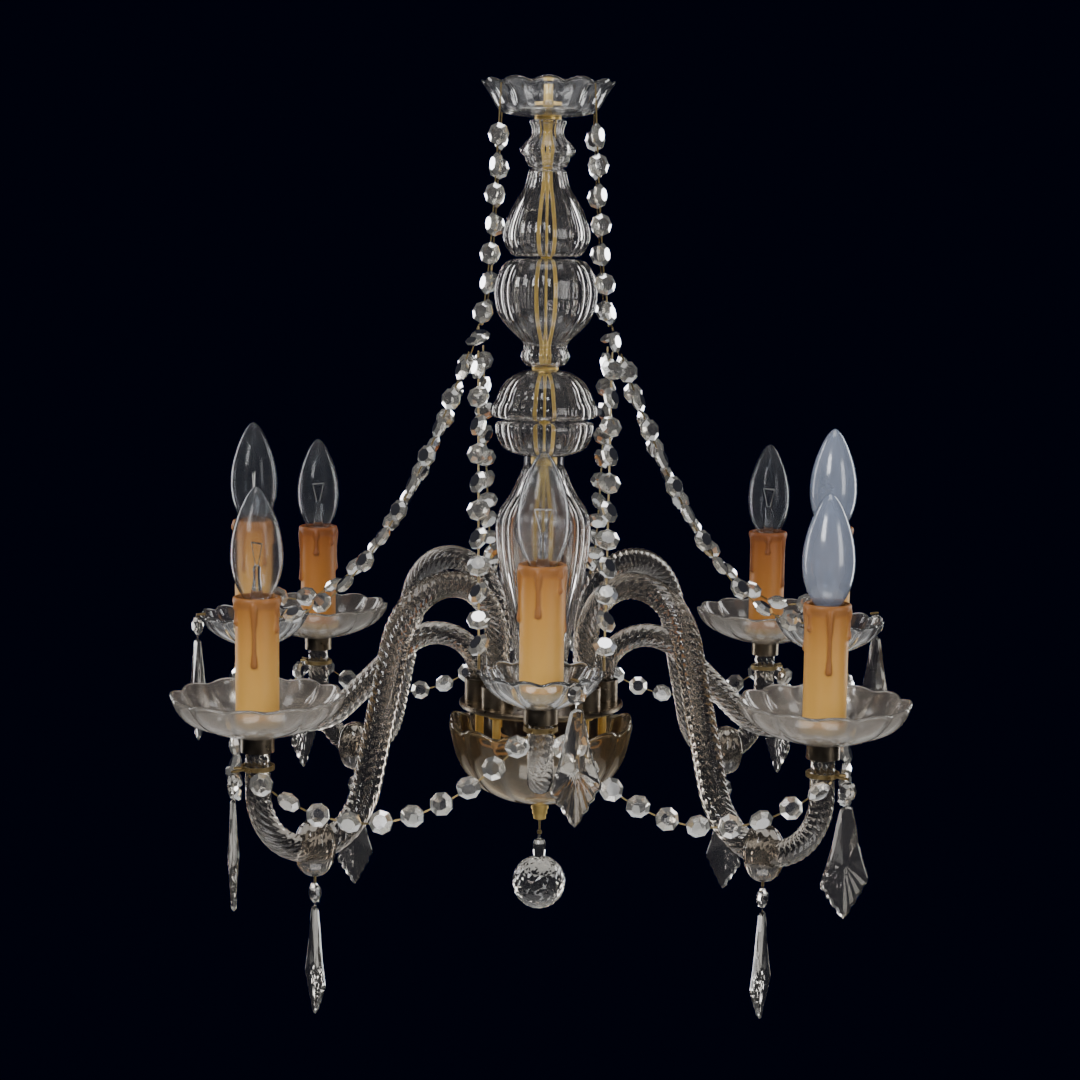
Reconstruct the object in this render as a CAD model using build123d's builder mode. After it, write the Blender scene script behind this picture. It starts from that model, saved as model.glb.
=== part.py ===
from build123d import *
import os
from math import asin, atan2, ceil, cos, degrees, hypot, pi, radians, sin

# Crystal chandelier with eight candle arms, in millimetres.
# The origin is on the stem axis, half way along the threaded top end of the stem.
# +Z points up and -Y points at the front short arm. Angles round the stem start at -Y
# and grow towards +X.

# ---------------------------------------------------------------- driving dimensions
run_gap = 0.3            # air between pieces that move past each other
seat_gap = 0.25          # air between a wire pin and the glass that it holds
hook_air = 0.55          # from a hook's wire down to the pin of the strand below it

# stem
thread_radius = 4.0      # of the free upper end
thread_length = 12.0
stem_radius = 3.8        # of the plain tube below the thread
stem_bore = 2.5
stem_clearance = 0.6     # round the stem in washers, nuts and the plate
glass_bore = 6.0         # hole in every glass piece that is threaded on the stem

# hardware on the stem
nut_flats = 14.0
crown_nut_height = 4.0
thread_air = 1.0         # free stem between the thread and the crown nut
washer_height = 1.0
crown_washer_radius = 9.0
plate_nut_height = 6.0

# petalled rims, which the crown, the bowl and all dishes share
rim_valley_in = 0.05     # share of the radius by which the notches step in
rim_valley_down = 0.13   # share of the depth by which they step down
inner_wall_share = 0.8   # of the wall, measured inwards and upwards from the outer profile

# crown dish
crown_radius = 48.0
crown_height = 26.0
crown_floor = 6.0
crown_foot_radius = 13.0
crown_scallops = 12
crown_wall = 3.0

# glass pieces on the stem, from the top down
neck_height = 34.0
pear_height = 63.0
globe_height = 78.0
dome_height = 36.0
saucer_height = 27.0
vase_height = 172.0
flute_count = 16
flute_depth = 1.3
upper_seat_height = 1.5
lantern_seat_height = 1.5
vase_seat_height = 5.0
plate_seat_height = 2.0
seat_radius = 9.5

# brass plate that carries the arms, on a tube and nut under each arm
plate_radius = 60.0
plate_height = 4.0
plate_chamfer = 1.0
arm_count = 4            # of each kind
arm_foot_radius = 45.0   # from the stem axis to the foot of each arm
ferrule_height = 16.0
ferrule_wall = 1.6
nipple_radius = 3.0
nipple_bore = 2.0
nipple_length = 24.0     # below the plate
nipple_hole_radius = 3.3
nipple_nut_flats = 11.0
nipple_nut_height = 3.5

# glass arms: the route runs up, over an arch, down a slope, round a bend and up again
long_reach = 259.0
long_arch_radius = 49.0
long_bend_radius = 47.0
long_arch_top = -343.0
long_bend_bottom = -509.0
long_arm_end = -428.0
short_reach = 210.0
short_arch_radius = 31.8
short_bend_radius = 38.0
short_arch_top = -389.0
short_bend_bottom = -455.3
short_arm_end = -401.0
arm_end_radius = 9.3     # over the ridges, at both ends
long_arm_swell = 2.6     # added half way along
short_arm_swell = 0.6
arm_ridges = 5
ridge_depth = 1.5
ridge_lead = 150.0       # length of arm in which a ridge goes once round
arm_ring_step = 12.0
knop_radius = 15.5
knop_half_height = 20.0
knop_bands = 5
knop_sides = 10

# what stands on the outer end of each arm
cap_wall = 1.5
cap_skirt = 8.0          # length of arm end inside the cap
cap_roof = 2.0
collar_height = 3.0
long_collar_drop = 9.0   # from the cap's lower edge to the collar
short_collar_drop = 2.0
collar_wall = 1.2
collar_hook_reach = 20.0  # from the limb's axis to the drop that hangs on the collar
swag_hook_reach = 15.5
swag_hook_turn = 30.0    # from the arm's outward direction round to each swag hook
hook_wire_radius = 0.9
large_dish_radius = 57.5
large_dish_height = 29.0
small_dish_radius = 41.0
small_dish_height = 24.0
dish_floor = 6.0
dish_wall = 3.0
dish_scallops = 12
dish_foot_radius = 12.5
cup_nipple_radius = 5.0
cup_radius = 16.6
cup_wall = 1.4
cup_floor = 2.0
cup_lip = 4.0
rim_post_height = 7.5    # of the wire posts on the small dishes that end the strands

# candle sleeves, lampholders and bulbs
sleeve_radius = 14.2
sleeve_wall = 1.6
sleeve_height = 84.0
sleeve_lip_radius = 16.2
sleeve_lip_height = 5.0
sleeve_lip_round = 1.5
drip_radius = 1.8
drip_lengths = (26.0, 11.0, 38.0, 16.0, 8.0, 30.0)
holder_clearance = 0.5
holder_recess = 8.0      # from the sleeve's top down to the lampholder's mouth
bulb_base_radius = 6.9
bulb_base_length = 19.0
bulb_base_top = -4.0
bulb_base_round = 3.0    # height over which the base narrows to its contact
bulb_neck_length = 5.0   # of the base's collar that stands out of the lampholder
bulb_neck_radius = 9.5
bulb_radius = 17.5
bulb_widest = 26.0       # height of the widest place above the sleeve
bulb_height = 71.0       # glass above the sleeve
bulb_tip_radius = 0.8
bulb_tip_width = 0.24    # share of the radius where the tip rounds over
bulb_tip_level = 0.955   # share of the height at that place
bulb_travel = 30.0

# receiver bowl, its nut, hook and cut ball
bowl_radius = 69.6
bowl_rim = -450.6
bowl_height = 65.4
bowl_wall = 3.5
bowl_floor = 5.0
bowl_foot_radius = 9.0
bowl_scallops = 12
bowl_nut_height = 11.5
bowl_nut_radius = 6.5
hook_length = 11.5
hook_eye_height = 2.5
ball_radius = 20.6
ball_neck_radius = 5.0
ball_neck_height = 13.0
ball_loop_length = 3.0
ball_sides = 12
ball_bands = 6
ball_table = 0.18        # share of the radius that is flat underneath

# cut drops and strung beads
drop_length = 76.0
drop_half_width = 20.0
drop_link = 1.9          # wire link between a drop's bead and its leaf
drop_half_thickness = 4.5
drop_thickest = 0.52     # share of the leaf's length down to its thickest place
drop_bead_radius = 7.0
knop_hook_length = 4.0
rim_hook_reach = 3.0     # from the small dish's edge to the drop that hangs there
bead_radius = 8.0
bead_half_thickness = 3.6
bead_pitch = 21.4
bead_lean = 18.0         # degrees by which every other bead turns from facing outwards
link_radius = 0.7
crown_hook_share = 0.96  # of the crown's radius, out to the strands' first pins
crown_hook_drop = 4.5    # from the crown's rim down to them
crown_strand_slack = 1.004
crown_strand_lead = 25.0  # bare wire between the crown's edge and the first bead's pin
swag_slack = 1.13
strand_slack = {"front": 1.01, "right": 1.09, "back": 1.05, "left": 1.09}
split_radius = 66.0      # where each crown strand parts in two
split_height = -164.0

# lamp wires inside the receiver bowl
wire_radius = 1.1
wire_bend = 5.0          # radius of a wire's bends
wire_air = 3.2           # from the stem's wall to the wires that run down beside it
wire_turn_drop = 5.0     # from a nipple's lower end to its wire's first bend
wire_tail = 12.0

# ---------------------------------------------------------------- levels down the stem
thread_top = thread_length / 2
crown_nut_top = -thread_length / 2 - thread_air
crown_washer_top = crown_nut_top - crown_nut_height
crown_floor_top = crown_washer_top - washer_height
crown_foot = crown_floor_top - crown_floor
crown_rim = crown_foot + crown_height
neck_top = crown_foot - upper_seat_height
pear_top = neck_top - neck_height
globe_top = pear_top - pear_height
globe_bottom = globe_top - globe_height
dome_top = globe_bottom - lantern_seat_height
saucer_top = dome_top - dome_height
saucer_bottom = saucer_top - saucer_height
vase_top = saucer_bottom - vase_seat_height
vase_bottom = vase_top - vase_height
plate_top = vase_bottom - plate_seat_height
plate_bottom = plate_top - plate_height
plate_nut_bottom = plate_bottom - plate_nut_height
bowl_foot = bowl_rim - bowl_height
stem_bottom = bowl_foot - bowl_nut_height / 2
bowl_nut_bottom = bowl_foot - bowl_nut_height
hook_bottom = bowl_nut_bottom - hook_length
stem_hole = stem_radius + stem_clearance

# ---------------------------------------------------------------- names and angles
short_angles = {"front": 0, "right": 90, "back": 180, "left": 270}
long_angles = {"front_right": 45, "back_right": 135, "back_left": 225, "front_left": 315}
long_dish_foot = long_arm_end + cap_roof
short_dish_foot = short_arm_end + cap_roof
candle_places = {}
for name, angle in long_angles.items():
    candle_places[name] = (long_reach, angle, long_dish_foot)
for name, angle in short_angles.items():
    candle_places[name] = (short_reach, angle, short_dish_foot)


def around(radius, angle, height):
    """Point at a radius, an angle in degrees from -Y towards +X, and a height."""
    turn = radians(angle)
    return Vector(radius * sin(turn), -radius * cos(turn), height)


def facing(angle):
    """Level unit vector that points outwards at an angle round the stem."""
    return around(1, angle, 0)


# ---------------------------------------------------------------- faceted solids
def flat_face(points):
    return Face(Wire.make_polygon(points, close=True))


def skin(rings, ring_shaped=False):
    """Solid with flat triangles between successive rings of points, capped or ring-shaped."""
    pairs = list(zip(rings, rings[1:]))
    faces = []
    if ring_shaped:
        pairs.append((rings[-1], rings[0]))
    else:
        faces.append(flat_face(rings[0]))
        faces.append(flat_face(rings[-1]))
    for near, far in pairs:
        for i in range(len(near)):
            j = (i + 1) % len(near)
            faces.append(flat_face([near[i], near[j], far[j]]))
            faces.append(flat_face([near[i], far[j], far[i]]))
    return Solid(Shell(faces))


def double_pyramid(outline, apex, half_thickness):
    """Cut stone: flat triangles from an outline in the XZ plane to an apex on each side."""
    edge = [Vector(x, 0, z) for x, z in outline]
    faces = []
    for side in (-half_thickness, half_thickness):
        tip = Vector(apex[0], side, apex[1])
        for i in range(len(edge)):
            faces.append(flat_face([edge[i], edge[(i + 1) % len(edge)], tip]))
    return Solid(Shell(faces))


def scalloped_dish(profile, wall, hole_radius, seat_width, floor, scallops, points):
    """Dish with a petalled rim and a flat seat inside, as wide as what stands on it.

    The profile is (radius, height) from the foot to the rim.
    """
    depth = profile[-1][1]
    inner = [(profile[-1][0] - wall, depth)]
    for radius, height in reversed(profile[1:-1]):
        step = inner_wall_share * wall
        inner.append((radius - step, height + step))
    section = [(hole_radius, 0)] + profile + inner + [(seat_width, floor), (hole_radius, floor)]
    rings = []
    for radius, height in section:
        rise = height / depth
        ring = []
        for i in range(scallops * points):
            valley = 1 if i % points == 0 else 0
            spread = 1 - valley * rim_valley_in * rise ** 2
            sink = valley * rim_valley_down * depth * rise ** 4
            angle = 360 * (i - points / 2) / (scallops * points)
            ring.append(around(radius * spread, angle, height - sink))
        rings.append(ring)
    return skin(rings, ring_shaped=True)


def star(radius, depth, count):
    """Corners of a fluted section: ridges at the full radius, hollows a depth inside it."""
    corners = []
    for i in range(2 * count):
        reach = radius - (depth if i % 2 else 0)
        turn = pi * i / count
        corners.append((reach * cos(turn), reach * sin(turn)))
    return corners


def fluted_baluster(top, profile, cavity):
    """Hollow pressed-glass piece. Profile and cavity are (radius, depth below the top)."""
    with BuildPart() as baluster:
        for radius, drop in profile:
            with BuildSketch(Plane.XY.offset(top - drop)):
                Polygon(*star(radius, flute_depth, flute_count), align=None)
        loft(ruled=True)
        for radius, drop in cavity:
            with BuildSketch(Plane.XY.offset(top - drop)):
                RegularPolygon(radius, flute_count)
        loft(ruled=True, mode=Mode.SUBTRACT)
    return baluster.part


def turned(points):
    """Brass or glass turned round the stem axis from a closed (radius, height) outline."""
    with BuildPart() as piece:
        with BuildSketch(Plane.XZ):
            Polygon(*points, align=None)
        revolve(axis=Axis.Z)
    return piece.part


# ---------------------------------------------------------------- stem
os.makedirs("parts", exist_ok=True)

with BuildPart() as stem_tube:
    for foot, top, radius in (
        (stem_bottom, thread_top - thread_length, stem_radius),
        (thread_top - thread_length, thread_top, thread_radius),
    ):
        with BuildSketch(Plane.XY.offset(foot)):
            Circle(radius)
            Circle(stem_bore, mode=Mode.SUBTRACT)
        extrude(amount=top - foot)
stem_tube.part.label = "stem_tube"
export_step(stem_tube.part, "parts/stem_tube.step")

with BuildPart() as lock_nuts:
    for top, height in ((crown_nut_top, crown_nut_height), (plate_bottom, plate_nut_height)):
        with BuildSketch(Plane.XY.offset(top - height)):
            RegularPolygon(nut_flats / 2, 6, major_radius=False)
            Circle(stem_hole, mode=Mode.SUBTRACT)
        extrude(amount=height)
lock_nuts.part.label = "lock_nuts"
export_step(lock_nuts.part, "parts/lock_nuts.step")

# Washers and turned seats between the glass pieces, from the top down.
with BuildPart() as seat_washers:
    for top, height, radius in (
        (crown_washer_top, washer_height, crown_washer_radius),
        (crown_foot, upper_seat_height, seat_radius),
        (globe_bottom, lantern_seat_height, seat_radius),
        (saucer_bottom, vase_seat_height, seat_radius),
        (vase_bottom, plate_seat_height, seat_radius),
    ):
        with BuildSketch(Plane.XY.offset(top - height)):
            Circle(radius)
            Circle(stem_hole, mode=Mode.SUBTRACT)
        extrude(amount=height)
seat_washers.part.label = "seat_washers"
export_step(seat_washers.part, "parts/seat_washers.step")

# ---------------------------------------------------------------- crown dish
crown_profile = [
    (crown_foot_radius, 0),
    (0.64 * crown_radius, 0.06 * crown_height),
    (0.74 * crown_radius, 0.17 * crown_height),
    (0.84 * crown_radius, 0.5 * crown_height),
    (crown_radius, crown_height),
]
with BuildPart() as crown_dish:
    with Locations(Location((0, 0, crown_foot), (0, 0, 180 / crown_scallops))):
        add(scalloped_dish(crown_profile, crown_wall, stem_hole, crown_washer_radius + 1,
                           crown_floor, crown_scallops, 3))
crown_dish.part.label = "crown_dish"
export_step(crown_dish.part, "parts/crown_dish.step")

# ---------------------------------------------------------------- glass on the stem
neck_baluster = fluted_baluster(
    neck_top,
    [(14.4, 0), (11.2, 9), (21.2, 21.5), (19.5, 25), (14.0, neck_height)],
    [(glass_bore, 0), (7.0, 9), (16.5, 21.5), (glass_bore, neck_height)],
)
neck_baluster.label = "neck_baluster"
export_step(neck_baluster, "parts/neck_baluster.step")

pear_baluster = fluted_baluster(
    pear_top,
    [(14.0, 0), (16.4, 12.5), (25.0, 24.5), (31.3, 40.5), (33.4, 48.5), (29.4, 57.5),
     (25.7, pear_height)],
    [(glass_bore, 0), (11.5, 12.5), (20.0, 24.5), (27.6, 44), (glass_bore, pear_height)],
)
pear_baluster.label = "pear_baluster"
export_step(pear_baluster, "parts/pear_baluster.step")

globe_baluster = fluted_baluster(
    globe_top,
    [(25.7, 0), (34.0, 8.5), (39.0, 25.5), (36.5, 41.5), (29.0, 50), (21.6, 55.5),
     (15.9, 62), (19.5, 70), (13.6, globe_height)],
    [(glass_bore, 0), (28.5, 8.5), (33.5, 25.5), (24.0, 50), (10.5, 62), (glass_bore, globe_height)],
)
globe_baluster.label = "globe_baluster"
export_step(globe_baluster, "parts/globe_baluster.step")

dome_cup = fluted_baluster(
    dome_top,
    [(14.8, 0), (30.0, 9), (36.3, 22), (40.1, 27), (40.1, dome_height)],
    [(glass_bore, 0), (25.0, 11), (32.0, 24), (34.0, dome_height)],
)
dome_cup.label = "dome_cup"
export_step(dome_cup, "parts/dome_cup.step")

saucer_cup = fluted_baluster(
    saucer_top,
    [(37.5, 0), (34.3, 16.5), (30.6, 23), (16.0, saucer_height)],
    [(32.0, 0), (29.0, 16), (glass_bore, 22.5), (glass_bore, saucer_height)],
)
saucer_cup.label = "saucer_cup"
export_step(saucer_cup, "parts/saucer_cup.step")

vase_baluster = fluted_baluster(
    vase_top,
    [(15.0, 0), (25.0, 22.6), (33.0, 32.6), (36.4, 40), (35.7, 62), (25.0, 112),
     (19.0, 150), (20.5, vase_height)],
    [(glass_bore, 0), (19.5, 22.6), (30.8, 40), (30.0, 62), (19.5, 112), (13.5, 150),
     (glass_bore, vase_height)],
)
vase_baluster.label = "vase_baluster"
export_step(vase_baluster, "parts/vase_baluster.step")

# ---------------------------------------------------------------- arm plate and ferrules
with BuildPart() as arm_plate:
    with BuildSketch(Plane.XY.offset(plate_bottom)):
        Circle(plate_radius)
        Circle(stem_hole, mode=Mode.SUBTRACT)
        with PolarLocations(arm_foot_radius, 2 * arm_count, start_angle=-90):
            Circle(nipple_hole_radius, mode=Mode.SUBTRACT)
    extrude(amount=plate_height)
    chamfer(arm_plate.edges().filter_by(GeomType.CIRCLE).sort_by(SortBy.RADIUS)[-2:],
            plate_chamfer)
arm_plate.part.label = "arm_plate"
export_step(arm_plate.part, "parts/arm_plate.step")

ferrule_bore = arm_end_radius + seat_gap
with BuildPart() as arm_ferrules:
    with BuildSketch(Plane.XY.offset(plate_top)):
        with PolarLocations(arm_foot_radius, 2 * arm_count, start_angle=-90):
            Circle(ferrule_bore + ferrule_wall)
            Circle(ferrule_bore, mode=Mode.SUBTRACT)
    extrude(amount=ferrule_height)
arm_ferrules.part.label = "arm_ferrules"
export_step(arm_ferrules.part, "parts/arm_ferrules.step")

# Threaded tubes that hold the arms down. Each has a nut that bears on the plate's underside.
nipple_bottom = plate_bottom - nipple_length
with BuildPart() as arm_nipples:
    with BuildSketch(Plane.XY.offset(nipple_bottom)):
        with PolarLocations(arm_foot_radius, 2 * arm_count, start_angle=-90):
            Circle(nipple_radius)
    extrude(amount=plate_top - seat_gap - nipple_bottom)
    with BuildSketch(Plane.XY.offset(plate_bottom - nipple_nut_height)):
        with PolarLocations(arm_foot_radius, 2 * arm_count, start_angle=-90):
            RegularPolygon(nipple_nut_flats / 2, 6, major_radius=False)
    extrude(amount=nipple_nut_height)
    with BuildSketch(Plane.XY.offset(nipple_bottom)):
        with PolarLocations(arm_foot_radius, 2 * arm_count, start_angle=-90):
            Circle(nipple_bore)
    extrude(amount=plate_top - nipple_bottom, mode=Mode.SUBTRACT)
arm_nipples.part.label = "arm_nipples"
export_step(arm_nipples.part, "parts/arm_nipples.step")


# ---------------------------------------------------------------- glass arms
def arm_route(reach, arch_radius, bend_radius, arch_top, bend_bottom, end):
    """Centre line of an arm in the XZ plane: limb, arch, slope, bend and outer limb."""
    arch = (arm_foot_radius + arch_radius, arch_top - arch_radius)
    bend = (reach - bend_radius, bend_bottom + bend_radius)
    run = hypot(bend[0] - arch[0], bend[1] - arch[1])
    dip = atan2(arch[1] - bend[1], bend[0] - arch[0]) + asin((arch_radius + bend_radius) / run)
    leave = (arch[0] + arch_radius * sin(dip), arch[1] + arch_radius * cos(dip))
    meet = (bend[0] - bend_radius * sin(dip), bend[1] - bend_radius * cos(dip))
    sweep_angle = 90 + degrees(dip)
    with BuildLine(Plane.XZ) as route:
        Line((arm_foot_radius, plate_top), (arm_foot_radius, arch[1]))
        CenterArc(arch, arch_radius, 180, -sweep_angle)
        Line(leave, meet)
        CenterArc(bend, bend_radius, 360 - sweep_angle, sweep_angle)
        Line((reach, bend[1]), (reach, end))
    return Wire(route.edges())


def twisted_arm(route, swell):
    """Glass rod whose ridges wind round it, thickest half way along."""
    length = route.length
    steps = ceil(length / arm_ring_step)
    rings = []
    for step in range(steps + 1):
        t = step / steps
        centre = route.position_at(t)
        along = route.tangent_at(t)
        across = Vector(0, 1, 0)
        outward = across.cross(along)
        radius = arm_end_radius + swell * sin(pi * t) ** 2
        ring = []
        for i in range(2 * arm_ridges):
            reach = radius - (ridge_depth if i % 2 else 0)
            turn = pi * i / arm_ridges + 2 * pi * t * length / ridge_lead
            ring.append(centre + outward * (reach * cos(turn)) + across * (reach * sin(turn)))
        rings.append(ring)
    return skin(rings)


def knop(centre_radius, centre_height):
    """Blown swelling at the lowest point of a long arm, flat where the hook pin leaves it."""
    rings = []
    for step in range(knop_bands + 1):
        lift = -cos(pi * (step + 0.5) / (knop_bands + 1))
        girth = knop_radius * sin(pi * (step + 0.5) / (knop_bands + 1))
        height = centre_height + knop_half_height * lift / cos(pi * 0.5 / (knop_bands + 1))
        ring = []
        for i in range(knop_sides):
            turn = 2 * pi * i / knop_sides
            ring.append(Vector(centre_radius + girth * cos(turn), girth * sin(turn), height))
        rings.append(ring)
    return skin(rings)


long_route = arm_route(long_reach, long_arch_radius, long_bend_radius, long_arch_top,
                       long_bend_bottom, long_arm_end)
short_route = arm_route(short_reach, short_arch_radius, short_bend_radius, short_arch_top,
                        short_bend_bottom, short_arm_end)
knop_centre = long_reach - long_bend_radius
knop_foot = long_bend_bottom - knop_half_height

with BuildPart() as long_arm:
    add(twisted_arm(long_route, long_arm_swell))
    add(knop(knop_centre, long_bend_bottom))
with BuildPart() as short_arm:
    add(twisted_arm(short_route, short_arm_swell))

for kind, angles, made in (("long", long_angles, long_arm), ("short", short_angles, short_arm)):
    for name, angle in angles.items():
        with BuildPart() as arm:
            with Locations(Location((0, 0, 0), (0, 0, angle - 90))):
                add(made.part)
        arm.part.label = f"{kind}_arm_{name}"
        export_step(arm.part, f"parts/{kind}_arm_{name}.step")

# ---------------------------------------------------------------- arm ends, dishes, candles
with BuildPart() as arm_cap:
    with BuildSketch(Plane.XY.offset(-cap_roof - cap_skirt)):
        Circle(ferrule_bore + cap_wall)
    extrude(amount=cap_roof + cap_skirt)
    with BuildSketch(Plane.XY.offset(-cap_roof - cap_skirt)):
        Circle(ferrule_bore)
    extrude(amount=cap_skirt, mode=Mode.SUBTRACT)

collar_bore = arm_end_radius + 2 * seat_gap
collar_middle = -cap_roof - cap_skirt - collar_height / 2


def collar(drop, outer_hook):
    """Brass band round an arm's outer limb, with a hook to each side and one outwards."""
    with BuildPart() as band:
        with BuildSketch(Plane.XY.offset(collar_middle - drop - collar_height / 2)):
            Circle(collar_bore + collar_wall)
            Circle(collar_bore, mode=Mode.SUBTRACT)
        extrude(amount=collar_height)
        hooks = [(swag_hook_turn, swag_hook_reach), (-swag_hook_turn, swag_hook_reach)]
        if outer_hook:
            hooks.append((0, collar_hook_reach + hook_wire_radius))
        for turn, reach in hooks:
            start = around(collar_bore + collar_wall / 2, turn, collar_middle - drop)
            with BuildSketch(Plane(origin=start, z_dir=facing(turn))):
                RegularPolygon(hook_wire_radius, 8)
            extrude(amount=reach - collar_bore - collar_wall / 2)
    return band.part


def placed(names, shape, lift=0.0):
    """Copies of a shape made at a dish's foot, one on each named arm."""
    copies = []
    for name in names:
        reach, angle, foot = candle_places[name]
        copies.append(Location(around(reach, angle, foot + lift), (0, 0, angle)) * shape)
    return copies


with BuildPart() as arm_caps:
    add(placed(candle_places, arm_cap.part))
arm_caps.part.label = "arm_caps"
export_step(arm_caps.part, "parts/arm_caps.step")

with BuildPart() as limb_collars:
    add(placed(long_angles, collar(long_collar_drop, True)))
    add(placed(short_angles, collar(short_collar_drop, False)))
limb_collars.part.label = "limb_collars"
export_step(limb_collars.part, "parts/limb_collars.step")

large_profile = [
    (dish_foot_radius, 0),
    (0.5 * large_dish_radius, 0.14 * large_dish_height),
    (0.78 * large_dish_radius, 0.36 * large_dish_height),
    (0.94 * large_dish_radius, 0.68 * large_dish_height),
    (large_dish_radius, large_dish_height),
]
small_profile = [
    (dish_foot_radius, 0),
    (0.6 * small_dish_radius, 0.2 * small_dish_height),
    (0.85 * small_dish_radius, 0.52 * small_dish_height),
    (small_dish_radius, small_dish_height),
]
dish_hole = cup_nipple_radius + stem_clearance
with BuildPart() as large_dishes:
    add(placed(long_angles, scalloped_dish(large_profile, dish_wall, dish_hole, cup_radius + 1,
                                           dish_floor, dish_scallops, 3)))
large_dishes.part.label = "large_dishes"
export_step(large_dishes.part, "parts/large_dishes.step")

with BuildPart() as small_dishes:
    add(placed(short_angles, scalloped_dish(small_profile, dish_wall, dish_hole, cup_radius + 1,
                                            dish_floor, dish_scallops, 2)))
small_dishes.part.label = "small_dishes"
export_step(small_dishes.part, "parts/small_dishes.step")

# A turned cup stands on each dish's floor. Its nipple goes down through the glass.
cup_seat = dish_floor + cup_floor
candle_cup = turned([
    (0, 0), (cup_nipple_radius, 0), (cup_nipple_radius, dish_floor), (cup_radius, dish_floor),
    (cup_radius, cup_seat + cup_lip), (cup_radius - cup_wall, cup_seat + cup_lip),
    (cup_radius - cup_wall, cup_seat), (0, cup_seat),
])
with BuildPart() as candle_cups:
    add(placed(candle_places, candle_cup))
candle_cups.part.label = "candle_cups"
export_step(candle_cups.part, "parts/candle_cups.step")

sleeve_bore = sleeve_radius - sleeve_wall
with BuildPart() as candle_sleeve:
    with BuildSketch(Plane.XY):
        Circle(sleeve_radius)
    extrude(amount=sleeve_height)
    with BuildSketch(Plane.XY.offset(sleeve_height - sleeve_lip_height)):
        Circle(sleeve_lip_radius)
    extrude(amount=sleeve_lip_height)
    fillet(candle_sleeve.edges().group_by(Axis.Z)[-1], sleeve_lip_round)
    for i, length in enumerate(drip_lengths):
        spot = around(sleeve_radius + 0.3, 360 * i / len(drip_lengths), 0)
        with BuildSketch(Plane.XY.offset(sleeve_height - sleeve_lip_height - length)):
            with Locations((spot.X, spot.Y)):
                RegularPolygon(drip_radius, 8)
        extrude(amount=length + 1)
    with BuildSketch(Plane.XY):
        Circle(sleeve_bore)
    extrude(amount=sleeve_height, mode=Mode.SUBTRACT)
with BuildPart() as candle_sleeves:
    add(placed(candle_places, candle_sleeve.part, cup_seat))
candle_sleeves.part.label = "candle_sleeves"
export_step(candle_sleeves.part, "parts/candle_sleeves.step")

holder_radius = sleeve_bore - holder_clearance
holder_mouth = sleeve_height - holder_recess
holder_bore = bulb_base_radius + run_gap
bulb_base_foot = -holder_recess + bulb_neck_length - bulb_base_length
with BuildPart() as lampholder:
    with BuildSketch(Plane.XY):
        Circle(holder_radius)
    extrude(amount=holder_mouth)
    with BuildSketch(Plane.XY.offset(sleeve_height + bulb_base_foot - run_gap)):
        Circle(holder_bore)
    extrude(amount=bulb_base_length, mode=Mode.SUBTRACT)
with BuildPart() as lampholders:
    add(placed(candle_places, lampholder.part, cup_seat))
lampholders.part.label = "lampholders"
export_step(lampholders.part, "parts/lampholders.step")

# Candle bulb: z = 0 at the sleeve's top. The screw base reaches down into the lampholder.
with BuildPart() as bulb:
    with BuildSketch(Plane.XZ):
        with BuildLine():
            Polyline(
                (bulb_tip_radius, bulb_height), (0, bulb_height), (0, bulb_base_foot),
                (0.5 * bulb_base_radius, bulb_base_foot),
                (bulb_base_radius, bulb_base_foot + bulb_base_round),
                (bulb_base_radius, bulb_base_top),
                (bulb_neck_radius, bulb_base_top + bulb_base_round),
            )
            ThreePointArc((bulb_neck_radius, bulb_base_top + bulb_base_round),
                          (0.857 * bulb_radius, 0.37 * bulb_widest), (bulb_radius, bulb_widest))
            ThreePointArc((bulb_radius, bulb_widest), (0.84 * bulb_radius, 0.64 * bulb_height),
                          (0.46 * bulb_radius, 0.873 * bulb_height))
            Line((0.46 * bulb_radius, 0.873 * bulb_height),
                 (bulb_tip_width * bulb_radius, bulb_tip_level * bulb_height))
            Line((bulb_tip_width * bulb_radius, bulb_tip_level * bulb_height),
                 (bulb_tip_radius, bulb_height))
        make_face()
    revolve(axis=Axis.Z)
for name, (reach, angle, foot) in candle_places.items():
    with BuildPart() as own_bulb:
        with Locations(around(reach, angle, foot + cup_seat + sleeve_height)):
            add(bulb.part)
    own_bulb.part.label = f"bulb_{name}"
    export_step(own_bulb.part, f"parts/bulb_{name}.step")

# ---------------------------------------------------------------- receiver bowl and finial
bowl_profile = [
    (bowl_foot_radius, 0),
    (0.28 * bowl_radius, 0.045 * bowl_height),
    (0.6 * bowl_radius, 0.17 * bowl_height),
    (0.78 * bowl_radius, 0.34 * bowl_height),
    (0.895 * bowl_radius, 0.54 * bowl_height),
    (0.955 * bowl_radius, 0.77 * bowl_height),
    (bowl_radius, bowl_height),
]
with BuildPart() as receiver_bowl:
    with Locations((0, 0, bowl_foot)):
        add(scalloped_dish(bowl_profile, bowl_wall, stem_hole, bowl_foot_radius, bowl_floor,
                           bowl_scallops, 3))
receiver_bowl.part.label = "receiver_bowl"
export_step(receiver_bowl.part, "parts/receiver_bowl.step")

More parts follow.
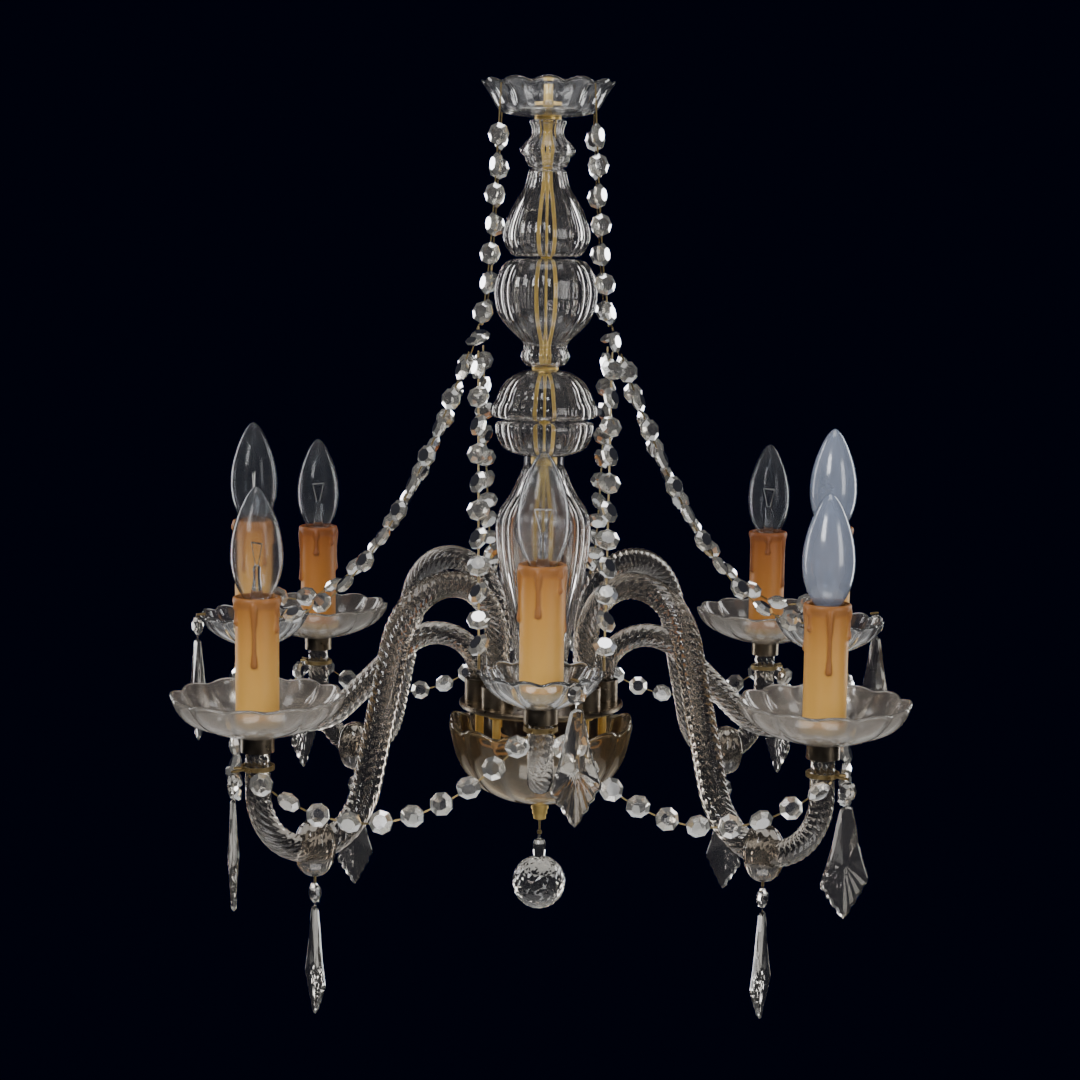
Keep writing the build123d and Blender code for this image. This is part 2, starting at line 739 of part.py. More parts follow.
# Stacked rings of the nut under the bowl, bored for the stem's lower end.
nut_waist = 0.72 * bowl_nut_radius
nut_third = bowl_nut_height / 3
with BuildPart() as bowl_nut:
    add(turned([
        (0, bowl_nut_bottom), (nut_waist, bowl_nut_bottom),
        (nut_waist, bowl_nut_bottom + nut_third), (0.86 * bowl_nut_radius, bowl_nut_bottom + nut_third),
        (0.86 * bowl_nut_radius, bowl_foot - nut_third), (bowl_nut_radius, bowl_foot - nut_third),
        (bowl_nut_radius, bowl_foot), (0, bowl_foot),
    ]))
    with BuildSketch(Plane.XY.offset(bowl_foot)):
        Circle(stem_hole)
    extrude(amount=stem_bottom - seat_gap - bowl_foot, mode=Mode.SUBTRACT)
bowl_nut.part.label = "bowl_nut"
export_step(bowl_nut.part, "parts/bowl_nut.step")

with BuildPart() as finial_hook:
    with BuildSketch(Plane.XY.offset(bowl_nut_bottom)):
        Circle(hook_wire_radius)
    extrude(amount=-hook_length)
    with BuildSketch(Plane.XY.offset(hook_bottom)):
        Circle(2 * hook_wire_radius)
    extrude(amount=hook_eye_height)
finial_hook.part.label = "finial_hook"
export_step(finial_hook.part, "parts/finial_hook.step")

# Cut ball: flat facets in bands, under a plain neck and a wire loop.
ball_top = hook_bottom - 2 * run_gap - ball_loop_length
ball_neck_foot = ball_top - ball_neck_height
ball_centre = ball_neck_foot - ball_radius * cos(asin(ball_neck_radius / ball_radius))
with BuildPart() as finial_ball:
    for height in (ball_top, ball_neck_foot):
        with BuildSketch(Plane.XY.offset(height)):
            RegularPolygon(ball_neck_radius, ball_sides)
    for step in range(1, ball_bands):
        latitude = pi * step / ball_bands
        with BuildSketch(Plane.XY.offset(ball_centre + ball_radius * cos(latitude))):
            RegularPolygon(ball_radius * sin(latitude), ball_sides)
    with BuildSketch(Plane.XY.offset(ball_centre - ball_radius)):
        RegularPolygon(ball_table * ball_radius, ball_sides)
    loft(ruled=True)
    with BuildSketch(Plane.XY.offset(ball_top)):
        RegularPolygon(hook_wire_radius, 6)
    extrude(amount=ball_loop_length)
finial_ball.part.label = "finial_ball"
export_step(finial_ball.part, "parts/finial_ball.step")

# Lamp wires: each comes down an arm and its nipple, and bends in beside the stem.
with BuildPart() as lamp_wires:
    for i in range(2 * arm_count):
        angle = 360 * i / (2 * arm_count)
        turn_height = nipple_bottom - wire_turn_drop
        start = around(arm_foot_radius, angle, plate_top - seat_gap)
        corner = around(arm_foot_radius, angle, turn_height)
        gather = around(stem_radius + wire_air, angle, turn_height - wire_bend)
        with BuildLine() as lead:
            FilletPolyline(start, corner, gather, gather - Vector(0, 0, wire_tail),
                           radius=wire_bend)
        with BuildSketch(Plane(origin=start, z_dir=(0, 0, -1))):
            RegularPolygon(wire_radius, 6)
        sweep(path=lead.wires()[0])
lamp_wires.part.label = "lamp_wires"
export_step(lamp_wires.part, "parts/lamp_wires.step")

# ---------------------------------------------------------------- cut drops
half_outline = [
    (0.25, -0.02), (0.4, -0.16), (0.55, -0.34), (0.75, -0.5), (1.0, -0.66), (0.96, -0.71),
    (0.78, -0.735), (0.74, -0.79), (0.56, -0.815), (0.5, -0.87), (0.32, -0.895), (0.25, -0.95),
]
bead_outline = []
for i in range(8):
    bead_outline.append((sin(pi * i / 4), cos(pi * i / 4)))
bead_height = -run_gap - drop_bead_radius
leaf_top = bead_height - drop_bead_radius - drop_link
leaf_outline = [(0, leaf_top)]
for across, down in half_outline:
    leaf_outline.append((across * drop_half_width, leaf_top + down * drop_length))
leaf_outline.append((0, leaf_top - drop_length))
for across, down in reversed(half_outline):
    leaf_outline.append((-across * drop_half_width, leaf_top + down * drop_length))
drop_bead_outline = [(drop_bead_radius * x, bead_height + drop_bead_radius * z)
                     for x, z in bead_outline]
drop_bead = double_pyramid(drop_bead_outline, (0, bead_height), bead_half_thickness)
drop_leaf = double_pyramid(leaf_outline, (0, leaf_top - drop_thickest * drop_length),
                           drop_half_thickness)
with BuildPart() as drop_pin:
    with BuildSketch(Plane.XY.offset(leaf_top + seat_gap)):
        RegularPolygon(link_radius, 3)
    extrude(amount=drop_link - 2 * seat_gap)

long_collar_level = long_dish_foot + collar_middle - long_collar_drop
rim_hook_angle = 360 / dish_scallops
rim_hook_level = short_dish_foot + small_dish_height
knop_facing = {"front_right": 65, "back_right": 135, "back_left": 225, "front_left": 295}
collar_facing = {"front_right": 25, "back_right": 115, "back_left": 245, "front_left": 275}
drop_places = {}         # name: hook, outward angle of its swing, angle that its leaf faces
for name, angle in long_angles.items():
    drop_places[f"knop_drop_{name}"] = (
        around(knop_centre, angle, knop_foot - knop_hook_length), angle, knop_facing[name])
    drop_places[f"collar_drop_{name}"] = (
        around(long_reach + collar_hook_reach, angle, long_collar_level - hook_wire_radius),
        angle, collar_facing[name])
for name, angle in short_angles.items():
    side = angle + rim_hook_angle
    edge = small_dish_radius + rim_hook_reach
    drop_places[f"rim_drop_{name}"] = (
        around(short_reach, angle, 0) + around(edge, side, rim_hook_level), side, side)
for name, (hang, angle, faced) in drop_places.items():
    with BuildPart() as drop:
        with Locations(Location(hang, (0, 0, faced))):
            add([drop_bead, drop_leaf, drop_pin.part])
    drop.part.label = name
    export_step(drop.part, f"parts/{name}.step")

# Pins in the knops and over the rims of the small dishes carry the drops below them.
with BuildPart() as drop_hooks:
    for name, angle in long_angles.items():
        with BuildSketch(Plane(origin=around(knop_centre, angle, knop_foot), z_dir=(0, 0, -1))):
            RegularPolygon(hook_wire_radius, 8)
        extrude(amount=knop_hook_length)
    for name, angle in short_angles.items():
        side = angle + rim_hook_angle
        start = around(short_reach, angle, 0)
        start += around(small_dish_radius - dish_wall, side, rim_hook_level + hook_wire_radius)
        with BuildSketch(Plane(origin=start, z_dir=facing(side))):
            RegularPolygon(hook_wire_radius, 8)
        extrude(amount=dish_wall + rim_hook_reach + hook_wire_radius)
        for side in (angle - 90, angle + 90):
            foot = around(short_reach, angle, rim_hook_level)
            foot += facing(side) * (small_dish_radius - 0.5 * dish_wall)
            with BuildSketch(Plane(origin=foot)):
                RegularPolygon(hook_wire_radius, 8)
            extrude(amount=rim_post_height)
drop_hooks.part.label = "drop_hooks"
export_step(drop_hooks.part, "parts/drop_hooks.step")

# ---------------------------------------------------------------- strung beads
def hanging_line(start, end, slack, samples=200):
    """Points of a sagging line whose length is the straight distance times the slack."""
    chord = end - start
    goal = chord.length * slack
    low, high = 0.0, chord.length
    for _ in range(40):
        sag = (low + high) / 2
        points = []
        for i in range(samples + 1):
            t = i / samples
            points.append(start + chord * t - Vector(0, 0, 4 * sag * t * (1 - t)))
        length = sum((b - a).length for a, b in zip(points, points[1:]))
        low, high = (sag, high) if length < goal else (low, sag)
    return points, length


def string_beads(start, end, slack, lead=0.0):
    """Bead planes and pin planes of one strand between two hooks, after a bare lead."""
    points, length = hanging_line(start, end, slack)
    count = round((length - lead) / bead_pitch)
    pitch = (length - lead) / count
    marks = []
    travelled = 0.0
    wanted = lead + pitch / 2
    for a, b in zip(points, points[1:]):
        step = (b - a).length
        while travelled + step >= wanted and len(marks) < count:
            marks.append(a + (b - a) * ((wanted - travelled) / step))
            wanted += pitch
        travelled += step
    beads = []
    ends = [start]
    for i, mark in enumerate(marks):
        before = marks[i - 1] if i else start
        after = marks[i + 1] if i + 1 < count else end
        along = (after - before).normalized()
        away = Vector(mark.X, mark.Y, 0).normalized()
        lean = radians(bead_lean if i % 2 else -bead_lean)
        side = along.cross(away).normalized()
        face = side.cross(along).normalized() * cos(lean) + side * sin(lean)
        beads.append(Plane(origin=mark, x_dir=along.cross(face), z_dir=along))
        ends.append(mark - along * bead_radius)
        ends.append(mark + along * bead_radius)
    ends.append(end)
    pins = []
    for a, b in zip(ends[::2], ends[1::2]):
        reach = (b - a).length
        pins.append((Plane(origin=a, z_dir=b - a), reach))
    return beads, pins


bead = double_pyramid([(bead_radius * x, bead_radius * z) for x, z in bead_outline], (0, 0),
                      bead_half_thickness)
crown_hook_radius = crown_hook_share * crown_radius
crown_hook_level = crown_rim - crown_hook_drop
post_top = rim_hook_level + rim_post_height
hook_drop = hook_wire_radius + hook_air
strands = {"upper": [], "swag": []}
for name, angle in long_angles.items():
    split = around(split_radius, angle, split_height)
    top = around(crown_hook_radius, angle, crown_hook_level)
    strands["upper"].append(string_beads(top, split, crown_strand_slack, crown_strand_lead))
    for short_name, short_angle in short_angles.items():
        turn = (short_angle - angle + 180) % 360 - 180
        if abs(turn) > 50:
            continue
        towards = short_angle - 90 if turn > 0 else short_angle + 90
        rim = around(short_reach, short_angle, post_top)
        rim += facing(towards) * (small_dish_radius - 0.5 * dish_wall)
        inwards = Vector(split.X - rim.X, split.Y - rim.Y, 0).normalized()
        rim += inwards * (hook_wire_radius + hook_air)
        strands["upper"].append(string_beads(split, rim, strand_slack[short_name]))
        tilt = swag_hook_turn if turn > 0 else -swag_hook_turn
        near = around(long_reach, angle, long_collar_level)
        near += facing(angle + tilt) * swag_hook_reach + Vector(0, 0, -hook_drop)
        far = around(short_reach, short_angle, short_dish_foot + collar_middle - short_collar_drop)
        far += facing(short_angle - tilt) * swag_hook_reach + Vector(0, 0, -hook_drop)
        strands["swag"].append(string_beads(near, far, swag_slack))

for kind, label in (("upper", "upper_strands"), ("swag", "swags")):
    with BuildPart() as strung:
        add([plane.location * bead for beads, pins in strands[kind] for plane in beads])
    strung.part.label = label
    export_step(strung.part, f"parts/{label}.step")

pin_corners = [(link_radius, 0), (-link_radius / 2, link_radius),
               (-link_radius / 2, -link_radius)]
pin_solids = []
for beads, pins in strands["upper"] + strands["swag"]:
    for plane, reach in pins:
        rings = []
        for along in (seat_gap, reach - seat_gap):
            rings.append([plane.from_local_coords(Vector(x, y, along)) for x, y in pin_corners])
        pin_solids.append(skin(rings))
with BuildPart() as strand_pins:
    add(pin_solids)
strand_pins.part.label = "strand_pins"
export_step(strand_pins.part, "parts/strand_pins.step")
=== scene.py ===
# %% [markdown]
# A crystal chandelier: eight glass arms with candle lamps hang from a stem of pressed glass,
# dressed with strings of octagon beads and cut drops. The CAD model is loaded first and is
# never moved. Every piece below is modelled in metres in the same frame: the origin is on
# the stem, +Z points up and -Y points at the front candle.

# %% load the frame
from math import asin, atan2, cos, hypot, pi, radians, sin

import bpy
from mathutils import Matrix, Vector


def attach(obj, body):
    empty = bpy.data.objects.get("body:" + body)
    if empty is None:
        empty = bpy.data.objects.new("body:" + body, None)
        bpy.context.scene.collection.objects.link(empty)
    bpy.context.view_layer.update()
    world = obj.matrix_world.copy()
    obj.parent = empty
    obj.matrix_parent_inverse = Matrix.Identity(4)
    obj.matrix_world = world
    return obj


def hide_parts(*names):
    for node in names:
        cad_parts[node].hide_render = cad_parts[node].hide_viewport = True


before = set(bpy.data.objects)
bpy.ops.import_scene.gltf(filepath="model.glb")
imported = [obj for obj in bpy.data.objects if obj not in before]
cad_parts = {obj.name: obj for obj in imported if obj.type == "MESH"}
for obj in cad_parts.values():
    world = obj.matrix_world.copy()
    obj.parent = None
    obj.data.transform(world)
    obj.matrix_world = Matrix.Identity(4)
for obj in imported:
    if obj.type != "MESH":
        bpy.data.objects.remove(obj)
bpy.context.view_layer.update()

MM = 0.001
print("CAD nodes:", len(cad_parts))

# %% [markdown]
# The photograph is taken from a little above the middle of the stem, looking slightly down,
# with a lens of about 70 mm. The chandelier hangs a hair out of plumb, which the roll gives.

# %% camera
lens_mm = 70.2
camera_place = Vector((0, -1.518, -0.120))
look_down = radians(7.5)
roll = radians(0.7)
camera_data = bpy.data.cameras.new("photo_camera")
camera_data.lens = lens_mm
camera_data.sensor_width = 36
camera_data.shift_x = -3 / 1080
camera = bpy.data.objects.new("photo_camera", camera_data)
bpy.context.scene.collection.objects.link(camera)
camera.matrix_world = (Matrix.Translation(camera_place)
                       @ Matrix.Rotation(pi / 2 - look_down, 4, "X")
                       @ Matrix.Rotation(roll, 4, "Z"))
bpy.context.scene.camera = camera
print("camera at", tuple(camera_place))

# %% [markdown]
# A studio for glass: a pale floor far below, and soft lamps to the front and to both sides.
# Clear glass shows what is behind it, so the dark blue of the photograph's backdrop is
# given to camera, glossy and transmission rays, while matt surfaces get plain soft light.

# %% studio
floor_level = -2.1
bpy.ops.object.select_all(action="DESELECT")
bpy.ops.mesh.primitive_circle_add(vertices=64, radius=2.6, fill_type="NGON",
                                  location=(0, 0, floor_level))
studio_floor = bpy.context.object
studio_floor.name = "studio_floor"

world = bpy.data.worlds.new("studio_world")
world.use_nodes = True
bpy.context.scene.world = world
nodes, links = world.node_tree.nodes, world.node_tree.links
nodes.clear()
path = nodes.new("ShaderNodeLightPath")
first = nodes.new("ShaderNodeMath")
first.operation = "MAXIMUM"
second = nodes.new("ShaderNodeMath")
second.operation = "MAXIMUM"
links.new(path.outputs["Is Camera Ray"], first.inputs[0])
links.new(path.outputs["Is Glossy Ray"], first.inputs[1])
links.new(first.outputs[0], second.inputs[0])
links.new(path.outputs["Is Transmission Ray"], second.inputs[1])
soft_light = nodes.new("ShaderNodeBackground")
soft_light.inputs["Color"].default_value = (0.9, 0.95, 1.0, 1)
soft_light.inputs["Strength"].default_value = 0.35
backdrop = nodes.new("ShaderNodeBackground")
backdrop.inputs["Color"].default_value = (0.0, 0.0006, 0.007, 1)
backdrop.inputs["Strength"].default_value = 1.0
shown = nodes.new("ShaderNodeMixShader")
links.new(second.outputs[0], shown.inputs[0])
links.new(soft_light.outputs[0], shown.inputs[1])
links.new(backdrop.outputs[0], shown.inputs[2])
output = nodes.new("ShaderNodeOutputWorld")
links.new(shown.outputs[0], output.inputs["Surface"])


def soft_lamp(name, place, size, watts, colour=(1, 1, 1)):
    """Area lamp that faces the middle of the chandelier and is hidden from the camera."""
    data = bpy.data.lights.new(name, "AREA")
    data.shape = "RECTANGLE"
    data.size, data.size_y = size
    data.energy = watts
    data.color = colour
    lamp = bpy.data.objects.new(name, data)
    bpy.context.scene.collection.objects.link(lamp)
    lamp.location = place
    lamp.rotation_euler = (Vector((0, 0, -0.3)) - Vector(place)).to_track_quat("-Z", "Y").to_euler()
    lamp.visible_camera = False
    return lamp


soft_lamp("key_lamp", (-1.3, -1.9, 0.9), (0.9, 0.9), 34)
soft_lamp("fill_lamp", (1.7, -1.6, 0.1), (0.7, 1.4), 16)
soft_lamp("left_rim_lamp", (-1.6, 1.1, -0.1), (0.4, 1.8), 14)
soft_lamp("right_rim_lamp", (1.6, 1.1, -0.1), (0.4, 1.8), 14)
soft_lamp("top_lamp", (0, -0.2, 1.6), (1.2, 1.2), 14)
soft_lamp("low_lamp", (0, -0.9, -1.7), (1.0, 0.6), 6)
print("lamps: 6, floor at", floor_level)

# %% [markdown]
# Finishes come next. Each is one Principled shader with its steady numbers on its own
# sockets, and a noise on Object coordinates that breaks up the colour, the gloss and the
# surface as the real finish does.


# %% a finish
def finish(name, colour, second_colour=None, grain=60, roughness=(0.1, 0.25), bump=0.1,
           bump_distance=0.0004, metallic=0.0, clear=0.0, ior=1.5, coat=0.0):
    """Material with two colours, a gloss and a bump that follow a noise."""
    made = bpy.data.materials.new(name)
    made.use_nodes = True
    nodes, links = made.node_tree.nodes, made.node_tree.links
    shader = nodes["Principled BSDF"]
    shader.inputs["Metallic"].default_value = metallic
    shader.inputs["Transmission Weight"].default_value = clear
    shader.inputs["IOR"].default_value = ior
    shader.inputs["Coat Weight"].default_value = coat
    where = nodes.new("ShaderNodeTexCoord")
    noise = nodes.new("ShaderNodeTexNoise")
    noise.inputs["Scale"].default_value = grain
    noise.inputs["Detail"].default_value = 4
    links.new(where.outputs["Object"], noise.inputs["Vector"])
    mix = nodes.new("ShaderNodeMix")
    mix.data_type = "RGBA"
    mix.inputs["A"].default_value = (*colour, 1)
    mix.inputs["B"].default_value = (*(second_colour or colour), 1)
    links.new(noise.outputs["Fac"], mix.inputs["Factor"])
    links.new(mix.outputs["Result"], shader.inputs["Base Color"])
    gloss = nodes.new("ShaderNodeMapRange")
    gloss.inputs["To Min"].default_value, gloss.inputs["To Max"].default_value = roughness
    links.new(noise.outputs["Fac"], gloss.inputs["Value"])
    links.new(gloss.outputs["Result"], shader.inputs["Roughness"])
    rise = nodes.new("ShaderNodeBump")
    rise.inputs["Strength"].default_value = bump
    rise.inputs["Distance"].default_value = bump_distance
    links.new(noise.outputs["Fac"], rise.inputs["Height"])
    links.new(rise.outputs["Normal"], shader.inputs["Normal"])
    return made


pressed_glass = finish("pressed_glass", (0.86, 0.83, 0.80), (0.96, 0.94, 0.91), 35,
                       (0.01, 0.05), 0.15, clear=0.985)
arm_glass = finish("smoky_arm_glass", (0.46, 0.41, 0.35), (0.80, 0.74, 0.66), 90,
                   (0.01, 0.06), 0.15, clear=0.97)
frosted_glass = finish("frosted_glass", (0.62, 0.57, 0.51), (0.86, 0.81, 0.75), 60,
                       (0.08, 0.22), 0.3, clear=0.9)
amber_frost = finish("amber_frosted_glass", (0.62, 0.44, 0.22), (0.82, 0.68, 0.46), 50,
                     (0.04, 0.14), 0.2, clear=0.96)
cut_crystal = finish("cut_crystal", (0.94, 0.93, 0.92), (1.0, 1.0, 1.0), 120,
                     (0.0, 0.03), 0.05, clear=0.97, ior=1.56)
clear_bulb = finish("clear_bulb_glass", (0.86, 0.88, 0.90), (0.94, 0.95, 0.96), 30,
                    (0.05, 0.12), 0.02, clear=0.988, ior=1.2)
frosted_bulb = finish("frosted_bulb_glass", (0.50, 0.56, 0.70), (0.64, 0.70, 0.84), 30,
                      (0.12, 0.24), 0.05, clear=0.68, coat=0.7)
brass = finish("aged_brass", (0.72, 0.47, 0.13), (0.95, 0.70, 0.26), 150, (0.34, 0.55), 0.15,
               metallic=0.9)
bright_wire = finish("plated_wire", (0.20, 0.14, 0.06), (0.36, 0.27, 0.13), 400,
                     (0.4, 0.6), 0.1, metallic=1.0)
wire_cover = finish("wire_cover", (0.75, 0.42, 0.18), (0.85, 0.55, 0.25), 300, (0.3, 0.5), 0.2)
holder_plastic = finish("holder_plastic", (0.78, 0.74, 0.64), (0.86, 0.83, 0.75), 200,
                        (0.35, 0.5), 0.1)
# brighter, yellower copy of the brass for the stem tube: brass colour with painted light, so that
# the thin tube reads as lit and not dark
painted_lit_tube_brass = finish("painted_light_tube_brass", (0.92, 0.60, 0.10), (1.0, 0.78, 0.26), 90,
                    (0.4, 0.6), 0.1, metallic=0.75)
smoky_crystal = finish("smoky_crystal", (0.74, 0.69, 0.62), (0.90, 0.87, 0.82), 60,
                       (0.01, 0.06), 0.05, clear=0.97, ior=1.56)
smoked_metal = finish("smoked_bronze", (0.14, 0.11, 0.08), (0.34, 0.28, 0.20), 140, (0.2, 0.4),
                      0.15, metallic=1.0)
bead_rim = finish("ground_crystal_rim", (0.78, 0.74, 0.64), (0.95, 0.92, 0.84), 200,
                  (0.03, 0.14), 0.1, clear=0.86, ior=1.56)
tinned_steel = finish("tinned_steel", (0.55, 0.52, 0.48), (0.75, 0.72, 0.68), 300,
                      (0.2, 0.4), 0.1, metallic=1.0)
floor_paint = finish("pale_floor_paint", (0.80, 0.79, 0.77), (0.84, 0.83, 0.81), 3, (0.6, 0.8),
                     0.05)
studio_floor.data.materials.append(floor_paint)
print("finishes:", len(bpy.data.materials))

# %% [markdown]
# Turned and plainly bent parts keep their CAD shape and only get a finish: the stem tube,
# nuts, washers, the arm plate with its ferrules, the caps, cups, hooks and bead pins.

# %% finishes on the kept CAD nodes
kept_finishes = {
    # the stem tube takes the brass copy with painted light
    painted_lit_tube_brass: ["stem_tube"],
    brass: ["lock_nuts", "seat_washers", "arm_nipples", "bowl_nut", "candle_cups"],
    smoked_metal: ["arm_plate", "arm_ferrules", "arm_caps"],
    bright_wire: ["strand_pins", "drop_hooks", "limb_collars", "finial_hook"],
    wire_cover: ["lamp_wires"],
    holder_plastic: ["lampholders"],
}
for material, names in kept_finishes.items():
    for name in names:
        for material_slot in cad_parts[name].material_slots:
            material_slot.material = material
print("kept nodes:", sum(len(names) for names in kept_finishes.values()))

# %% [markdown]
# Most of the glass is round, so the first tool grows a ring of vertices up a profile, as a
# glass maker's mould does. The second selects vertices by their place, so that flutes and
# petals can be pushed in by hand-sized moves. The last closes a piece up and puts it on
# its CAD body.


# %% modelling tools
def clear_selection():
    if bpy.context.mode != "OBJECT":
        bpy.ops.object.mode_set(mode="OBJECT")
    bpy.ops.object.select_all(action="DESELECT")


def take(piece):
    """Makes a piece the only one that is selected."""
    clear_selection()
    piece.select_set(True)
    bpy.context.view_layer.objects.active = piece


def choose(piece, wanted):
    """Edit mode with only the vertices for which wanted(place) is true selected."""
    bpy.ops.object.mode_set(mode="EDIT")
    bpy.ops.mesh.select_all(action="DESELECT")
    bpy.ops.object.mode_set(mode="OBJECT")
    for vertex in piece.data.vertices:
        vertex.select = wanted(vertex.co)
    bpy.ops.object.mode_set(mode="EDIT")


def grown(name, profile, sides):
    """Round shell: a ring of vertices extruded and resized along (radius, height) in mm."""
    clear_selection()
    radius, height = profile[0]
    bpy.ops.mesh.primitive_circle_add(vertices=sides, radius=radius * MM,
                                      location=(0, 0, height * MM))
    piece = bpy.context.object
    piece.name = name
    bpy.ops.object.transform_apply(location=True)
    bpy.ops.object.mode_set(mode="EDIT")
    bpy.ops.mesh.select_all(action="SELECT")
    grown_on(profile)
    bpy.ops.object.mode_set(mode="OBJECT")
    return piece


def grown_on(profile):
    """Extrudes and resizes the selected ring, which is the profile's first, up the others."""
    radius, height = profile[0]
    for next_radius, next_height in profile[1:]:
        bpy.ops.mesh.extrude_edges_move(
            TRANSFORM_OT_translate={"value": (0, 0, (next_height - height) * MM)})
        scale = next_radius / radius
        bpy.ops.transform.resize(value=(scale, scale, 1), center_override=(0, 0, 0))
        radius, height = next_radius, next_height


def closed_ends(piece):
    """Caps every open ring of a shell."""
    take(piece)
    bpy.ops.object.mode_set(mode="EDIT")
    bpy.ops.mesh.select_all(action="SELECT")
    bpy.ops.mesh.fill_holes(sides=0)
    bpy.ops.object.mode_set(mode="OBJECT")


def outwards(piece):
    take(piece)
    bpy.ops.object.mode_set(mode="EDIT")
    bpy.ops.mesh.select_all(action="SELECT")
    bpy.ops.mesh.remove_doubles(threshold=0.00001)
    bpy.ops.mesh.normals_make_consistent(inside=False)
    bpy.ops.object.mode_set(mode="OBJECT")


def modified(piece, kind, **values):
    """Adds a modifier and applies it."""
    take(piece)
    modifier = piece.modifiers.new(kind.title(), kind)
    for key, value in values.items():
        setattr(modifier, key, value)
    bpy.ops.object.modifier_apply(modifier=modifier.name)


def smoothed(piece, levels):
    modified(piece, "SUBSURF", levels=levels, render_levels=levels)
    take(piece)
    bpy.ops.object.shade_smooth()


def walled(piece, thickness):
    """Gives a shell a glass wall that grows inwards."""
    outwards(piece)
    modified(piece, "SOLIDIFY", thickness=thickness * MM, offset=-1, use_even_offset=True)


def turn_of(place):
    """Angle of a place round the stem, in whole turns from -Y towards +X."""
    return atan2(place.x, -place.y) / (2 * pi)


def between(place, count):
    """0 on a valley line, 0.5 half way between two of them, where count valleys go round."""
    share = (turn_of(place) * count) % 1
    return min(share, 1 - share)


def copied(piece, name, move):
    """Copy of a piece with its own mesh, moved by a matrix."""
    twin = piece.copy()
    twin.data = piece.data.copy()
    twin.name = twin.data.name = name
    twin.data.transform(move)
    bpy.context.scene.collection.objects.link(twin)
    return twin


def dropped(piece):
    bpy.data.objects.remove(piece)


def seated(piece, material, body, slot, *nodes):
    """Gives a piece its finish, its CAD body and the nodes that it stands for, which it hides; slot
    is not used.
    """
    if material is not None:
        piece.data.materials.clear()
        piece.data.materials.append(material)
    piece.data.name = piece.name
    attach(piece, body)
    if nodes:
        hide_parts(*nodes)
    return piece


def spot(radius, angle, height):
    """Place in metres from a radius, an angle in degrees from -Y towards +X, and a height."""
    turn = radians(angle)
    return Vector((radius * sin(turn), -radius * cos(turn), height)) * MM


def standing(radius, angle, height):
    """Matrix that puts a piece made at the origin at a place round the stem, facing outwards."""
    return Matrix.Translation(spot(radius, angle, height)) @ Matrix.Rotation(radians(angle), 4, "Z")


short_angles = {"front": 0, "right": 90, "back": 180, "left": 270}
long_angles = {"front_right": 45, "back_right": 135, "back_left": 225, "front_left": 315}

# distances from the stem axis and levels of the CAD model, in mm
long_reach, short_reach = 259, 210
knop_reach, collar_reach, rim_reach = 212, 279, 44
crown_foot, bowl_foot = -18, -516
large_dish_foot, small_dish_foot = -426, -399
long_sleeve_foot, short_sleeve_foot = -418, -391
knop_level = -509
knop_hang, collar_hang, rim_hang = -533, -447.4, -375
print("tools ready")

# %% [markdown]
# The stem is dressed with six hollow pieces of pressed glass. Each is grown up its profile,
# its flutes are pushed in between the ridges, and it gets a wall, so that the brass tube
# shows through it as it does in the real one. The heights are from the CAD levels.

# %% fluted glass on the stem
flute_count = 24


def fluted(name, top, profile, wall=3.2, depth=0.085):
    """Glass fluted outside and smooth inside, from a (radius, depth below the top) profile."""
    outside = [(radius, top - drop) for radius, drop in profile]
    piece = grown(name, outside, 2 * flute_count)
    choose(piece, lambda place: between(place, flute_count) < 0.2
           and hypot(place.x, place.y) > 8 * MM)
    bpy.ops.transform.resize(value=(1 - depth, 1 - depth, 1), center_override=(0, 0, 0))
    bpy.ops.object.mode_set(mode="OBJECT")
    last_radius, last_height = outside[-1]
    choose(piece, lambda place: abs(place.z - last_height * MM) < 0.00001
           and abs(hypot(place.x, place.y) - last_radius * MM) < 0.0005)
    inside = [(max(6.4, radius * (1 - depth) - wall),
               min(top - 2.4, max(last_height + 2.4, height)))
              for radius, height in reversed(outside)]
    grown_on([outside[-1]] + inside + [outside[0]])
    bpy.ops.object.mode_set(mode="OBJECT")
    outwards(piece)
    smoothed(piece, 2)
    seated(piece, pressed_glass, "frame", "stem_glass", name)
    return piece


fluted("neck_baluster", -19.5,
       [(7, 0.1), (13.6, 0), (14.2, 2), (11.6, 6), (11.4, 11), (17.0, 16.5), (21.2, 20.5),
        (20.6, 23.5), (17.2, 25.5), (16.6, 28), (14.0, 33.9), (7, 33.9)])
fluted("pear_baluster", -53.5,
       [(7, 0.1), (13.6, 0.1), (14.6, 4), (16.4, 12.5), (20.4, 19), (25.0, 26), (29.0, 34),
        (32.4, 43), (33.2, 49), (31.2, 54), (28.4, 58), (25.7, 62.9), (7, 62.9)])
fluted("globe_baluster", -116.5,
       [(7, 0.1), (25.6, 0.1), (31.0, 4), (35.6, 10), (38.8, 19), (39.0, 28), (36.8, 38),
        (32.0, 46), (26.0, 52), (20.6, 57), (16.2, 62), (16.0, 64.5), (19.4, 69.5), (17.6, 73),
        (13.8, 77.9), (7, 77.9)])
fluted("dome_cup", -196.0,
       [(7, 0.1), (14.6, 0.1), (23.0, 3.6), (29.8, 9), (34.4, 15.5), (36.0, 21), (38.2, 24.4),
        (40.0, 27), (40.0, 31), (39.8, 35.9), (7, 35.9)])
fluted("saucer_cup", -232.0,
       [(7, 0.1), (37.2, 0.1), (37.4, 6), (36.2, 11), (34.2, 16.5), (31.4, 21), (24.0, 24.2),
        (16.0, 26.9), (7, 26.9)])
fluted("vase_baluster", -264.0,
       [(7, 0.1), (14.8, 0.1), (19.0, 10), (24.6, 22.4), (32.6, 32.6), (36.2, 40), (36.0, 51),
        (35.4, 62), (30.8, 86), (25.0, 112), (21.4, 132), (19.0, 150), (19.6, 162),
        (20.4, 171.9), (7, 171.9)])
print("stem glass: 6 pieces")

